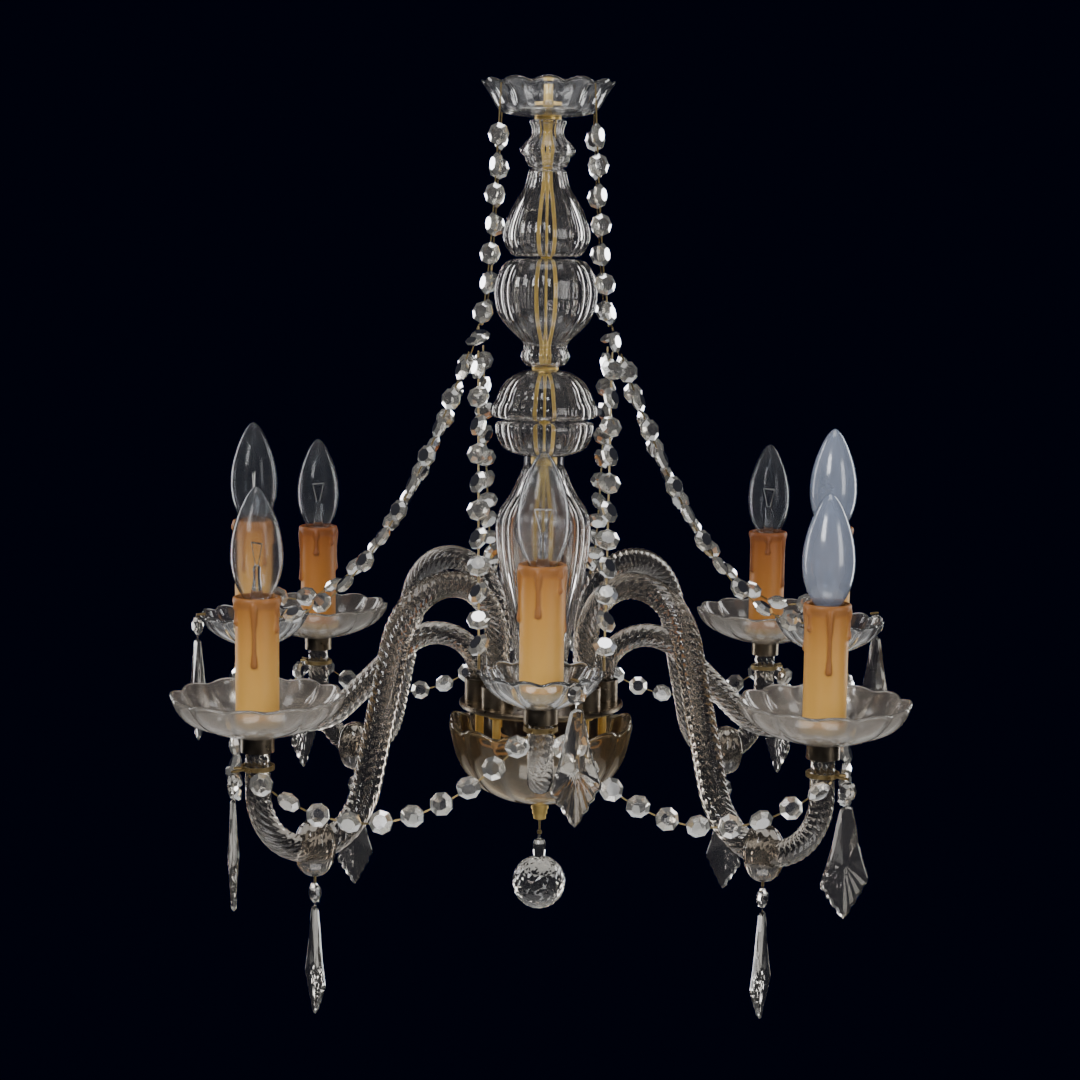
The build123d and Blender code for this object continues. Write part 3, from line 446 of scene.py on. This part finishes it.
# %% [markdown]
# Four kinds of dish have petalled rims: the crown, the frosted dishes under the large
# candles, the cut ones under the small candles and the bowl round the arm feet. A shallow
# cup is grown, and at each ring the vertices near a valley are sunk and drawn in.

# %% petalled dishes
petal_weights = {0: 1.0, 1: 0.42, 2: 0.1, 3: 0.0}


def petalled(name, profile, petals, wall, valley_in=0.05, valley_down=0.13, rib=0.03,
             levels=1):
    """Dish whose (radius, height) profile starts at its hole; heights are above its foot."""
    sides = 6 * petals
    dish = grown(name, profile, sides)
    depth = profile[-1][1]
    for radius, height in profile:
        rise = height / depth
        for step, weight in petal_weights.items():
            if weight * rise < 0.01:
                continue
            spread = 1 - weight * (valley_in * rise ** 2 + rib * min(1, 2 * rise) * (1 - rise))
            choose(dish, lambda place: abs(place.z - height * MM) < 0.00001
                   and abs(between(place, petals) - step / 6) < 0.04)
            bpy.ops.transform.resize(value=(spread, spread, 1), center_override=(0, 0, 0))
            sink = weight * valley_down * depth * rise ** 4
            if rise == 1:
                bpy.ops.transform.translate(value=(0, 0, -sink * MM))
            else:
                bpy.ops.transform.translate(value=(0, 0, weight * 6 * rise * (1 - rise) * MM))
            bpy.ops.object.mode_set(mode="OBJECT")
    walled(dish, wall)
    smoothed(dish, levels)
    return dish


crown = petalled("crown_dish", [
    (6, 0.2), (13, 0.1), (30.5, 1.7), (35.3, 4.5), (38.0, 8.5), (40.2, 13), (44.0, 19.3),
    (48.9, 25.2)], 12, 2.8, 0.05, 0.2, 0.12, 2)
crown.data.transform(Matrix.Translation((0, 0, crown_foot * MM)) @ Matrix.Rotation(pi / 12, 4, "Z"))
seated(crown, cut_crystal, "frame", "crystal", "crown_dish")

bowl = petalled("receiver_bowl", [
    (6, 0.1), (9, 0), (19.5, 3), (31, 6.5), (41.8, 11.1), (49, 16.5), (54.3, 22.2), (59, 29),
    (62.3, 35.3), (65, 43), (66.5, 50.4), (68.2, 58), (69.3, 65.2)], 12, 3.2, 0.05, 0.14, 0.08, 2)
bowl.data.transform(Matrix.Translation((0, 0, bowl_foot * MM)))
seated(bowl, amber_frost, "frame", "frosted_glass", "receiver_bowl")

large_dish = petalled("large_dish", [
    (6, 0.1), (12.5, 0), (20.5, 1.6), (28.7, 4), (37, 6.9), (44.8, 10.4), (50, 14.6),
    (54, 19.7), (56.2, 24.5), (57.2, 28.6)], 12, 2.8, 0.05, 0.14, 0.07, 2)
small_dish = petalled("small_dish", [
    (6, 0.1), (12.5, 0), (18.5, 1.8), (24.6, 4.8), (30, 8.2), (34.8, 12.5), (38.2, 17.8),
    (40.9, 24)], 12, 2.8, 0.06, 0.16, 0.06, 2)


def joined(parts, name):
    """One mesh from several."""
    clear_selection()
    for part in parts:
        part.select_set(True)
    bpy.context.view_layer.objects.active = parts[0]
    bpy.ops.object.join()
    parts[0].name = name
    return parts[0]


large_dishes = joined([copied(large_dish, "dish", standing(long_reach, angle, large_dish_foot))
                       for angle in long_angles.values()], "large_dishes")
seated(large_dishes, frosted_glass, "frame", "frosted_glass", "large_dishes")
small_dishes = joined([copied(small_dish, "dish", standing(short_reach, angle, small_dish_foot))
                       for angle in short_angles.values()], "small_dishes")
seated(small_dishes, cut_crystal, "frame", "crystal", "small_dishes")
dropped(large_dish)
dropped(small_dish)
print("dishes: crown, bowl, 4 large, 4 small")

# %% [markdown]
# The arms are rods of ribbed glass that were twisted while hot and then bent. They are made
# the same way: a ribbed ring is extruded upwards and turned a little at each step, and a
# Curve modifier then bends the straight rod along the arm's own line of arcs.


# %% arm paths
def arm_path(name, reach, arch_radius, bend_radius, arch_top, bend_bottom, end):
    """Curve along an arm in the XZ plane, in mm, and its length: foot, arch, slope, bend, limb."""
    foot_radius, foot = 45.0, -438.0
    arch = (foot_radius + arch_radius, arch_top - arch_radius)
    bend = (reach - bend_radius, bend_bottom + bend_radius)
    run = hypot(bend[0] - arch[0], bend[1] - arch[1])
    dip = atan2(arch[1] - bend[1], bend[0] - arch[0]) + asin((arch_radius + bend_radius) / run)
    turn = pi / 2 + dip
    line = [(foot_radius, foot)]
    for i in range(33):
        angle = pi - turn * i / 32
        line.append((arch[0] + arch_radius * cos(angle), arch[1] + arch_radius * sin(angle)))
    for i in range(33):
        angle = 2 * pi - turn + turn * i / 32
        line.append((bend[0] + bend_radius * cos(angle), bend[1] + bend_radius * sin(angle)))
    line.append((reach, end))
    data = bpy.data.curves.new(name, "CURVE")
    data.dimensions = "3D"
    spline = data.splines.new("POLY")
    spline.points.add(len(line) - 1)
    for point, (x, z) in zip(spline.points, line):
        point.co = (x * MM, 0, z * MM, 1)
    curve = bpy.data.objects.new(name, data)
    bpy.context.scene.collection.objects.link(curve)
    length = sum(hypot(b[0] - a[0], b[1] - a[1]) for a, b in zip(line, line[1:]))
    return curve, length


def twisted_arm(name, curve, length, swell, ribs=12, lead=76.0, step=4.2):
    """Straight ribbed rod, turned as it grows, bent along a curve."""
    clear_selection()
    end_radius = 9.0
    bpy.ops.mesh.primitive_circle_add(vertices=2 * ribs, radius=end_radius * MM)
    rod = bpy.context.object
    rod.name = name
    choose(rod, lambda place: between(place, ribs) < 0.2)
    bpy.ops.transform.resize(value=(0.82, 0.82, 1), center_override=(0, 0, 0))
    bpy.ops.mesh.select_all(action="SELECT")
    count = round(length / step)
    rise = length * MM / count
    radius = end_radius
    for i in range(1, count + 1):
        t = i / count
        next_radius = end_radius + swell * sin(pi * t) ** 2
        scale = next_radius / radius
        radius = next_radius
        bpy.ops.mesh.extrude_edges_move(TRANSFORM_OT_translate={"value": (0, 0, rise)})
        bpy.ops.transform.resize(value=(scale, scale, 1), center_override=(0, 0, 0))
        bpy.ops.transform.rotate(value=2 * pi * rise / (lead * MM), orient_axis="Z",
                                 center_override=(0, 0, 0))
    bpy.ops.object.mode_set(mode="OBJECT")
    closed_ends(rod)
    outwards(rod)
    modified(rod, "CURVE", object=curve, deform_axis="POS_Z")
    smoothed(rod, 1)
    print(name, "length", round(length), "mm,", len(rod.data.polygons), "faces")
    return rod


long_curve, long_length = arm_path("long_arm_line", long_reach, 49, 47, -343, knop_level,
                                    -428)
short_curve, short_length = arm_path("short_arm_line", short_reach, 31.8, 38, -389, -455.3, -401)
long_arm = twisted_arm("long_arm", long_curve, long_length, 2.6)
short_arm = twisted_arm("short_arm", short_curve, short_length, 0.8)

# %% [markdown]
# Each long arm has a knop at its lowest point, blown as a ribbed swelling that sits on the
# rod. The rods and knops are joined, copied round the stem, and their guide curves removed.

# %% knops and arm copies
knop_profile = []
for i in range(11):
    lift = -cos(pi * (i + 0.35) / 10.7)
    knop_profile.append((max(2.2, 15.4 * sin(pi * (i + 0.35) / 10.7) ** 0.8), 19.8 * lift))
knop = grown("knop", knop_profile, 20)
choose(knop, lambda place: between(place, 10) < 0.2)
bpy.ops.transform.resize(value=(0.84, 0.84, 1), center_override=(0, 0, 0))
bpy.ops.object.mode_set(mode="OBJECT")
closed_ends(knop)
outwards(knop)
smoothed(knop, 2)
knop.data.transform(Matrix.Translation((knop_reach * MM, 0, knop_level * MM)))
long_arm = joined([long_arm, knop], "long_arm")
for kind, arm, angles in (("long", long_arm, long_angles), ("short", short_arm, short_angles)):
    for side, angle in angles.items():
        name = f"{kind}_arm_{side}"
        own = copied(arm, name, Matrix.Rotation(radians(angle - 90), 4, "Z"))
        seated(own, arm_glass, "frame", "arm_glass", name)
    dropped(arm)
for curve in (long_curve, short_curve):
    dropped(curve)
print("arms: 8")

# %% [markdown]
# The candle sleeves are card tubes dipped in wax-coloured paint, with a swollen lip and
# drips of different lengths. The lip is grown with the tube; the drips are separate lumps,
# melted into the tube by a voxel remesh and smoothed, which is how wax runs together. The
# paint is paler low down and darker on the drips; the three back candles are darkened as painted
# shade, where the front light falls off.

# %% candle sleeves
sleeve_finish = bpy.data.materials.new("wax_sleeve")
sleeve_finish.use_nodes = True
nodes, links = sleeve_finish.node_tree.nodes, sleeve_finish.node_tree.links
shader = nodes["Principled BSDF"]
shader.inputs["Subsurface Weight"].default_value = 0.05
shader.inputs["Subsurface Scale"].default_value = 0.004
height_up = nodes.new("ShaderNodeAttribute")
height_up.attribute_name = "height_up"
wax = nodes.new("ShaderNodeValToRGB")
wax.color_ramp.elements[0].color = (0.84, 0.49, 0.11, 1)
wax.color_ramp.elements[1].position = 0.95
wax.color_ramp.elements[1].color = (0.44, 0.17, 0.03, 1)
middle = wax.color_ramp.elements.new(0.6)
middle.color = (0.68, 0.33, 0.065, 1)
links.new(height_up.outputs["Fac"], wax.inputs["Fac"])
where = nodes.new("ShaderNodeTexCoord")
mottle = nodes.new("ShaderNodeTexNoise")
mottle.inputs["Scale"].default_value = 70
links.new(where.outputs["Object"], mottle.inputs["Vector"])
proud = nodes.new("ShaderNodeAttribute")
proud.attribute_name = "proud"
drip_tint = nodes.new("ShaderNodeMix")
drip_tint.data_type = "RGBA"
drip_tint.inputs["B"].default_value = (0.36, 0.14, 0.03, 1)
links.new(proud.outputs["Fac"], drip_tint.inputs["Factor"])
links.new(wax.outputs["Color"], drip_tint.inputs["A"])
# painted shade: this weight multiplies the wax colour darker on the three back candles, where less
# light falls
age = nodes.new("ShaderNodeAttribute")
age.attribute_name = "age"
back_shaded = nodes.new("ShaderNodeMix")
back_shaded.data_type = "RGBA"
back_shaded.blend_type = "MULTIPLY"
back_shaded.inputs["B"].default_value = (0.58, 0.38, 0.26, 1)
links.new(age.outputs["Fac"], back_shaded.inputs["Factor"])
links.new(drip_tint.outputs["Result"], back_shaded.inputs["A"])
links.new(back_shaded.outputs["Result"], shader.inputs["Base Color"])
gloss = nodes.new("ShaderNodeMapRange")
gloss.inputs["To Min"].default_value = 0.38
gloss.inputs["To Max"].default_value = 0.55
links.new(mottle.outputs["Fac"], gloss.inputs["Value"])
links.new(gloss.outputs["Result"], shader.inputs["Roughness"])
rise = nodes.new("ShaderNodeBump")
rise.inputs["Strength"].default_value = 0.2
rise.inputs["Distance"].default_value = 0.0005
links.new(mottle.outputs["Fac"], rise.inputs["Height"])
links.new(rise.outputs["Normal"], shader.inputs["Normal"])

sleeve = grown("sleeve", [
    (12.7, 0), (14.1, 0), (14.1, 20), (14.1, 45), (14.1, 70), (14.3, 76), (15.2, 79),
    (15.7, 81.2), (15.3, 83.3), (14.0, 83.9), (13.1, 83.4), (12.7, 82), (12.7, 40), (12.7, 0.0)],
    48)
outwards(sleeve)
drips = ((26.0, 0), (11.0, 60), (38.0, 118), (16.0, 185), (8.0, 240), (30.0, 292))
lumps = [sleeve]
for length, angle in drips:
    drip = grown("drip", [(0.5, 81.4), (2.2, 80.4), (2.5, 77), (1.4, 81 - 0.5 * length),
                          (1.5, 80 - 0.8 * length), (2.3, 79 - length), (1.9, 77.4 - length),
                          (0.5, 76.8 - length)], 10)
    closed_ends(drip)
    outwards(drip)
    drip.data.transform(Matrix.Translation(spot(14.2, angle, 0)))
    lumps.append(drip)
sleeve = joined(lumps, "sleeve")
modified(sleeve, "REMESH", mode="VOXEL", voxel_size=0.00075)
modified(sleeve, "SMOOTH", factor=0.5, iterations=3)
modified(sleeve, "DECIMATE", ratio=0.3)
take(sleeve)
bpy.ops.object.shade_smooth()
heights = sleeve.data.attributes.new("height_up", "FLOAT", "POINT")
prouds = sleeve.data.attributes.new("proud", "FLOAT", "POINT")
for i, vertex in enumerate(sleeve.data.vertices):
    heights.data[i].value = vertex.co.z / (84 * MM)
    reach = hypot(vertex.co.x, vertex.co.y) / MM
    prouds.data[i].value = min(1, max(0, (reach - 14.3) / 0.7))

candle_places = {}
for name, angle in long_angles.items():
    candle_places[name] = (long_reach, angle, long_sleeve_foot)
for name, angle in short_angles.items():
    candle_places[name] = (short_reach, angle, short_sleeve_foot)
sleeve_turns = {"front_left": 287, "front": 350, "front_right": 197, "left": 130, "right": 200,
                "back_left": 310, "back_right": 160, "back": 100}
standing_sleeves = []
for name, (reach, angle, foot) in candle_places.items():
    move = standing(reach, angle, foot) @ Matrix.Rotation(radians(sleeve_turns[name]), 4, "Z")
    own = copied(sleeve, "sleeve", move)
    # painted shade weight: 0.85 on the back candles, 0.12 on the others
    ages = own.data.attributes.new("age", "FLOAT", "POINT")
    for value in ages.data:
        value.value = 0.85 if "back" in name else 0.12
    standing_sleeves.append(own)
dropped(sleeve)
candle_sleeves = joined(standing_sleeves, "candle_sleeves")
seated(candle_sleeves, sleeve_finish, "frame", "wax_sleeve", "candle_sleeves")
print("sleeves: 8,", len(candle_sleeves.data.polygons), "faces")

# %% [markdown]
# A candle bulb is a thin glass flame on a screw base, with a glass mount inside that holds
# the filament on two wires. Six bulbs are clear, and two are frosted blue-white. The glass
# and the works are separate pieces, because they have different finishes.

# %% bulbs
sleeve_top = 84
bulb_glass = grown("bulb_glass", [
    (6.6, -3.6), (9.3, -1), (12.4, 4.5), (14.9, 10), (16.8, 18), (17.4, 26), (16.7, 36),
    (14.6, 45.4), (11.5, 54.4), (8.0, 62), (6.0, 65.4), (4.1, 67.8), (2.2, 69.8), (0.5, 70.9)], 24)
take(bulb_glass)
bpy.ops.object.mode_set(mode="EDIT")
choose(bulb_glass, lambda place: place.z > 70.8 * MM)
bpy.ops.mesh.merge(type="CENTER")
bpy.ops.object.mode_set(mode="OBJECT")
walled(bulb_glass, 0.3)
smoothed(bulb_glass, 2)

screw_turns = []
for i in range(9):
    screw_turns.append((6.75 if i % 2 else 6.1, -18.6 + 1.5 * i))
base = grown("base", [(2.0, -21.9), (3.4, -21.6), (3.6, -20.6), (6.0, -19.6)] + screw_turns
             + [(6.7, -5.4), (6.7, -4.2)], 32)
closed_ends(base)
outwards(base)
base.data.materials.append(brass)
mount = grown("mount", [(5.2, -3.4), (4.6, 0), (2.6, 8), (2.2, 15), (3.0, 17), (2.4, 19),
                        (1.6, 20)], 12)
closed_ends(mount)
outwards(mount)
smoothed(mount, 1)
mount.data.materials.append(clear_bulb)
works = [base, mount]
for lean in (-1, 1):
    wire = grown("wire", [(0.3, 0), (0.3, 15)], 6)
    closed_ends(wire)
    wire.data.transform(Matrix.Translation((lean * 1.5 * MM, 0, 19.5 * MM))
                        @ Matrix.Rotation(lean * 0.28, 4, "Y"))
    wire.data.materials.append(tinned_steel)
    works.append(wire)
coil = grown("coil", [(0.45, -5.4), (0.62, -3), (0.45, 0), (0.62, 3), (0.45, 5.4)], 8)
closed_ends(coil)
coil.data.transform(Matrix.Translation((0, 0, 34 * MM)) @ Matrix.Rotation(pi / 2, 4, "Y"))
coil.data.materials.append(tinned_steel)
works.append(coil)
bulb_works = joined(works, "bulb_works")
frosted_names = ("front_right", "right")
for name, (reach, angle, foot) in candle_places.items():
    move = standing(reach, angle, foot + sleeve_top)
    glass = copied(bulb_glass, f"bulb_glass_{name}", move)
    frosted = name in frosted_names
    seated(glass, frosted_bulb if frosted else clear_bulb, f"bulb_{name}",
           "bulb_frosted" if frosted else "bulb_clear", f"bulb_{name}")
    inside = copied(bulb_works, f"bulb_works_{name}", move)
    seated(inside, None, f"bulb_{name}", "brass", f"bulb_{name}")
dropped(bulb_glass)
dropped(bulb_works)
print("bulbs: 8, each glass and works")

# %% [markdown]
# The strings hold about two hundred octagon beads, so one bead has only a few dozen faces:
# an octagon is inset and pushed out into a flat table on each side. Each copy takes its
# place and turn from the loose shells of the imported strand: its middle, the two tips that
# lie nearest to it, and one corner of its rim.


# %% strung beads
def octagon_bead(name, radius, half_thickness, table=0.5, rim=0.3):
    """Cut bead that faces along Y, with a corner towards +Z."""
    clear_selection()
    bpy.ops.mesh.primitive_circle_add(vertices=8, radius=radius * MM, fill_type="NGON")
    bead = bpy.context.object
    bead.name = name
    bead.data.transform(Matrix.Rotation(pi / 2, 4, "X")
                        @ Matrix.Translation((0, 0, rim * half_thickness * MM)))
    bpy.ops.object.mode_set(mode="EDIT")
    bpy.ops.mesh.select_all(action="SELECT")
    bpy.ops.mesh.inset(thickness=radius * (1 - table) * 0.9239 * MM,
                       depth=half_thickness * (1 - rim) * MM)
    bpy.ops.object.mode_set(mode="OBJECT")
    modified(bead, "MIRROR", use_axis=(False, True, False), use_mirror_merge=False)
    take(bead)
    bpy.ops.object.mode_set(mode="EDIT")
    choose(bead, lambda place: hypot(place.x, place.z) > 0.95 * radius * MM)
    bpy.ops.mesh.bridge_edge_loops()
    bpy.ops.object.mode_set(mode="OBJECT")
    outwards(bead)
    bead.data.materials.append(cut_crystal)
    bead.data.materials.append(bead_rim)
    for face in bead.data.polygons:
        face.material_index = 0 if abs(face.normal.y) > 0.99 else 1
    return bead


def shells(node):
    """Vertex places of each loose shell of a CAD node."""
    copy = copied(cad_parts[node], "shells", Matrix.Identity(4))
    copy.parent = None
    copy.hide_render = copy.hide_viewport = False
    outwards(copy)
    mesh = copy.data
    group = list(range(len(mesh.vertices)))

    def root(i):
        while group[i] != i:
            group[i] = group[group[i]]
            i = group[i]
        return i

    for edge in mesh.edges:
        a, b = (root(i) for i in edge.vertices)
        group[a] = b
    found = {}
    for i, vertex in enumerate(mesh.vertices):
        found.setdefault(root(i), []).append(vertex.co.copy())
    dropped(copy)
    return list(found.values())


strung_bead = octagon_bead("strung_bead", 7.9, 3.4, table=0.6)
print("one bead:", len(strung_bead.data.polygons), "faces")
for node in ("upper_strands", "swags"):
    beads = []
    for points in shells(node):
        centre = sum(points, Vector()) / len(points)
        points.sort(key=lambda point: (point - centre).length)
        face = (points[0] - points[1]).normalized()
        corner = (points[-1] - centre).normalized()
        side = corner.cross(face)
        turned = Matrix((side, face, corner)).transposed().to_4x4()
        beads.append(copied(strung_bead, "bead", Matrix.Translation(centre) @ turned))
    print(node, len(beads), "beads")
    strand = joined(beads, f"{node}_beads")
    seated(strand, None, "frame", "crystal", node)
dropped(strung_bead)

# %% [markdown]
# The cut drops have a stepped leaf outline. It is drawn by extruding one vertex from corner
# to corner, filled, inset for the polished bevel, and poked to a raised point from which
# the facets fall away. The back is the front's mirror image, and an octagon bead hangs
# above it on a short pin.


# %% cut drops
def drawn(name, corners):
    """Face with the given (x, z) corners in mm in the plane y = 0, drawn corner by corner."""
    clear_selection()
    bpy.ops.mesh.primitive_plane_add(size=MM)
    piece = bpy.context.object
    piece.name = name
    bpy.ops.object.mode_set(mode="EDIT")
    bpy.ops.mesh.select_all(action="SELECT")
    bpy.ops.mesh.merge(type="CENTER")
    x, z = corners[0]
    bpy.ops.transform.translate(value=(x * MM, 0, z * MM))
    for next_x, next_z in corners[1:]:
        bpy.ops.mesh.extrude_vertices_move(
            TRANSFORM_OT_translate={"value": ((next_x - x) * MM, 0, (next_z - z) * MM)})
        x, z = next_x, next_z
    bpy.ops.mesh.select_all(action="SELECT")
    bpy.ops.mesh.edge_face_add()
    bpy.ops.object.mode_set(mode="OBJECT")
    return piece


half_leaf = [(0.25, -0.02), (0.4, -0.16), (0.55, -0.34), (0.75, -0.5), (1.0, -0.66),
             (0.96, -0.71), (0.78, -0.735), (0.74, -0.79), (0.56, -0.815), (0.5, -0.87),
             (0.32, -0.895), (0.25, -0.95)]
leaf_top, leaf_length, leaf_half_width = -16.2, 75.6, 18.6
corners = [(0, leaf_top)]
corners += [(x * leaf_half_width, leaf_top + z * leaf_length) for x, z in half_leaf]
corners += [(0, leaf_top - leaf_length)]
corners += [(-x * leaf_half_width, leaf_top + z * leaf_length) for x, z in reversed(half_leaf)]
leaf = drawn("leaf", corners)
take(leaf)
bpy.ops.object.mode_set(mode="EDIT")
bpy.ops.mesh.select_all(action="SELECT")
bpy.ops.mesh.normals_make_consistent(inside=False)
bpy.ops.mesh.inset(thickness=1.5 * MM, depth=0)
bpy.ops.transform.translate(value=(0, -1.6 * MM, 0))
bpy.ops.mesh.poke(offset=0)
bpy.ops.object.mode_set(mode="OBJECT")
choose(leaf, lambda place: abs(place.x) < 0.3 * MM and abs(place.y + 1.6 * MM) < 0.1 * MM
       and -70 * MM < place.z < -30 * MM)
bpy.ops.transform.translate(value=(0, -2.3 * MM, 0))
bpy.ops.object.mode_set(mode="OBJECT")
modified(leaf, "MIRROR", use_axis=(False, True, False), merge_threshold=0.0001)
outwards(leaf)
link = grown("link", [(0.6, leaf_top), (0.6, leaf_top + 2.4)], 6)
closed_ends(link)
drop_bead = octagon_bead("drop_bead", 6.9, 3.4)
drop_bead.data.transform(Matrix.Translation((0, 0, -7.3 * MM)))
cut_drop = joined([leaf, link, drop_bead], "cut_drop")
outwards(cut_drop)
knop_facing = {"front_right": 65, "back_right": 135, "back_left": 225, "front_left": 295}
collar_facing = {"front_right": 25, "back_right": 115, "back_left": 245, "front_left": 275}
drop_places = {}
for name, angle in long_angles.items():
    drop_places[f"knop_drop_{name}"] = (spot(knop_reach, angle, knop_hang), knop_facing[name])
    drop_places[f"collar_drop_{name}"] = (spot(collar_reach, angle, collar_hang),
                                           collar_facing[name])
for name, angle in short_angles.items():
    side = angle + 30
    drop_places[f"rim_drop_{name}"] = (spot(short_reach, angle, 0) + spot(rim_reach, side, rim_hang),
                                      side)
for name, (hang, angle) in drop_places.items():
    move = Matrix.Translation(hang) @ Matrix.Rotation(radians(angle), 4, "Z")
    own = copied(cut_drop, f"{name}_crystal", move)
    seated(own, smoky_crystal, name, "crystal", name)
dropped(cut_drop)
print("cut drops:", len(drop_places))

# %% [markdown]
# The finial is a ball cut with rows of diamonds, under a plain neck. Rings with alternate
# An ico sphere's triangles are joined into quads for the diamonds, and each face is poked outwards a
# little.

# %% cut ball
ball_centre, ball_radius = -575.6, 19.6
clear_selection()
bpy.ops.mesh.primitive_ico_sphere_add(subdivisions=3, radius=ball_radius * MM,
                                      location=(0, 0, ball_centre * MM))
ball = bpy.context.object
ball.name = "finial_ball_crystal"
bpy.ops.object.transform_apply(location=True)
bpy.ops.object.mode_set(mode="EDIT")
bpy.ops.mesh.select_all(action="SELECT")
bpy.ops.mesh.tris_convert_to_quads(face_threshold=radians(60), shape_threshold=radians(60))
bpy.ops.mesh.poke(offset=0.65 * MM)
bpy.ops.object.mode_set(mode="OBJECT")
neck = grown("neck", [(4.4, -556), (4.9, -552), (4.9, -546), (3.6, -543.6), (1.2, -543.2),
                      (1.0, -540.6)], 16)
closed_ends(neck)
outwards(neck)
ball = joined([ball, neck], "finial_ball_crystal")
seated(ball, smoky_crystal, "finial_ball", "crystal", "finial_ball")
print("cut ball at", ball_centre)

# %% [markdown]
# Last, the selection is cleared and the view layer is updated.

# %% finish
clear_selection()
bpy.context.view_layer.update()
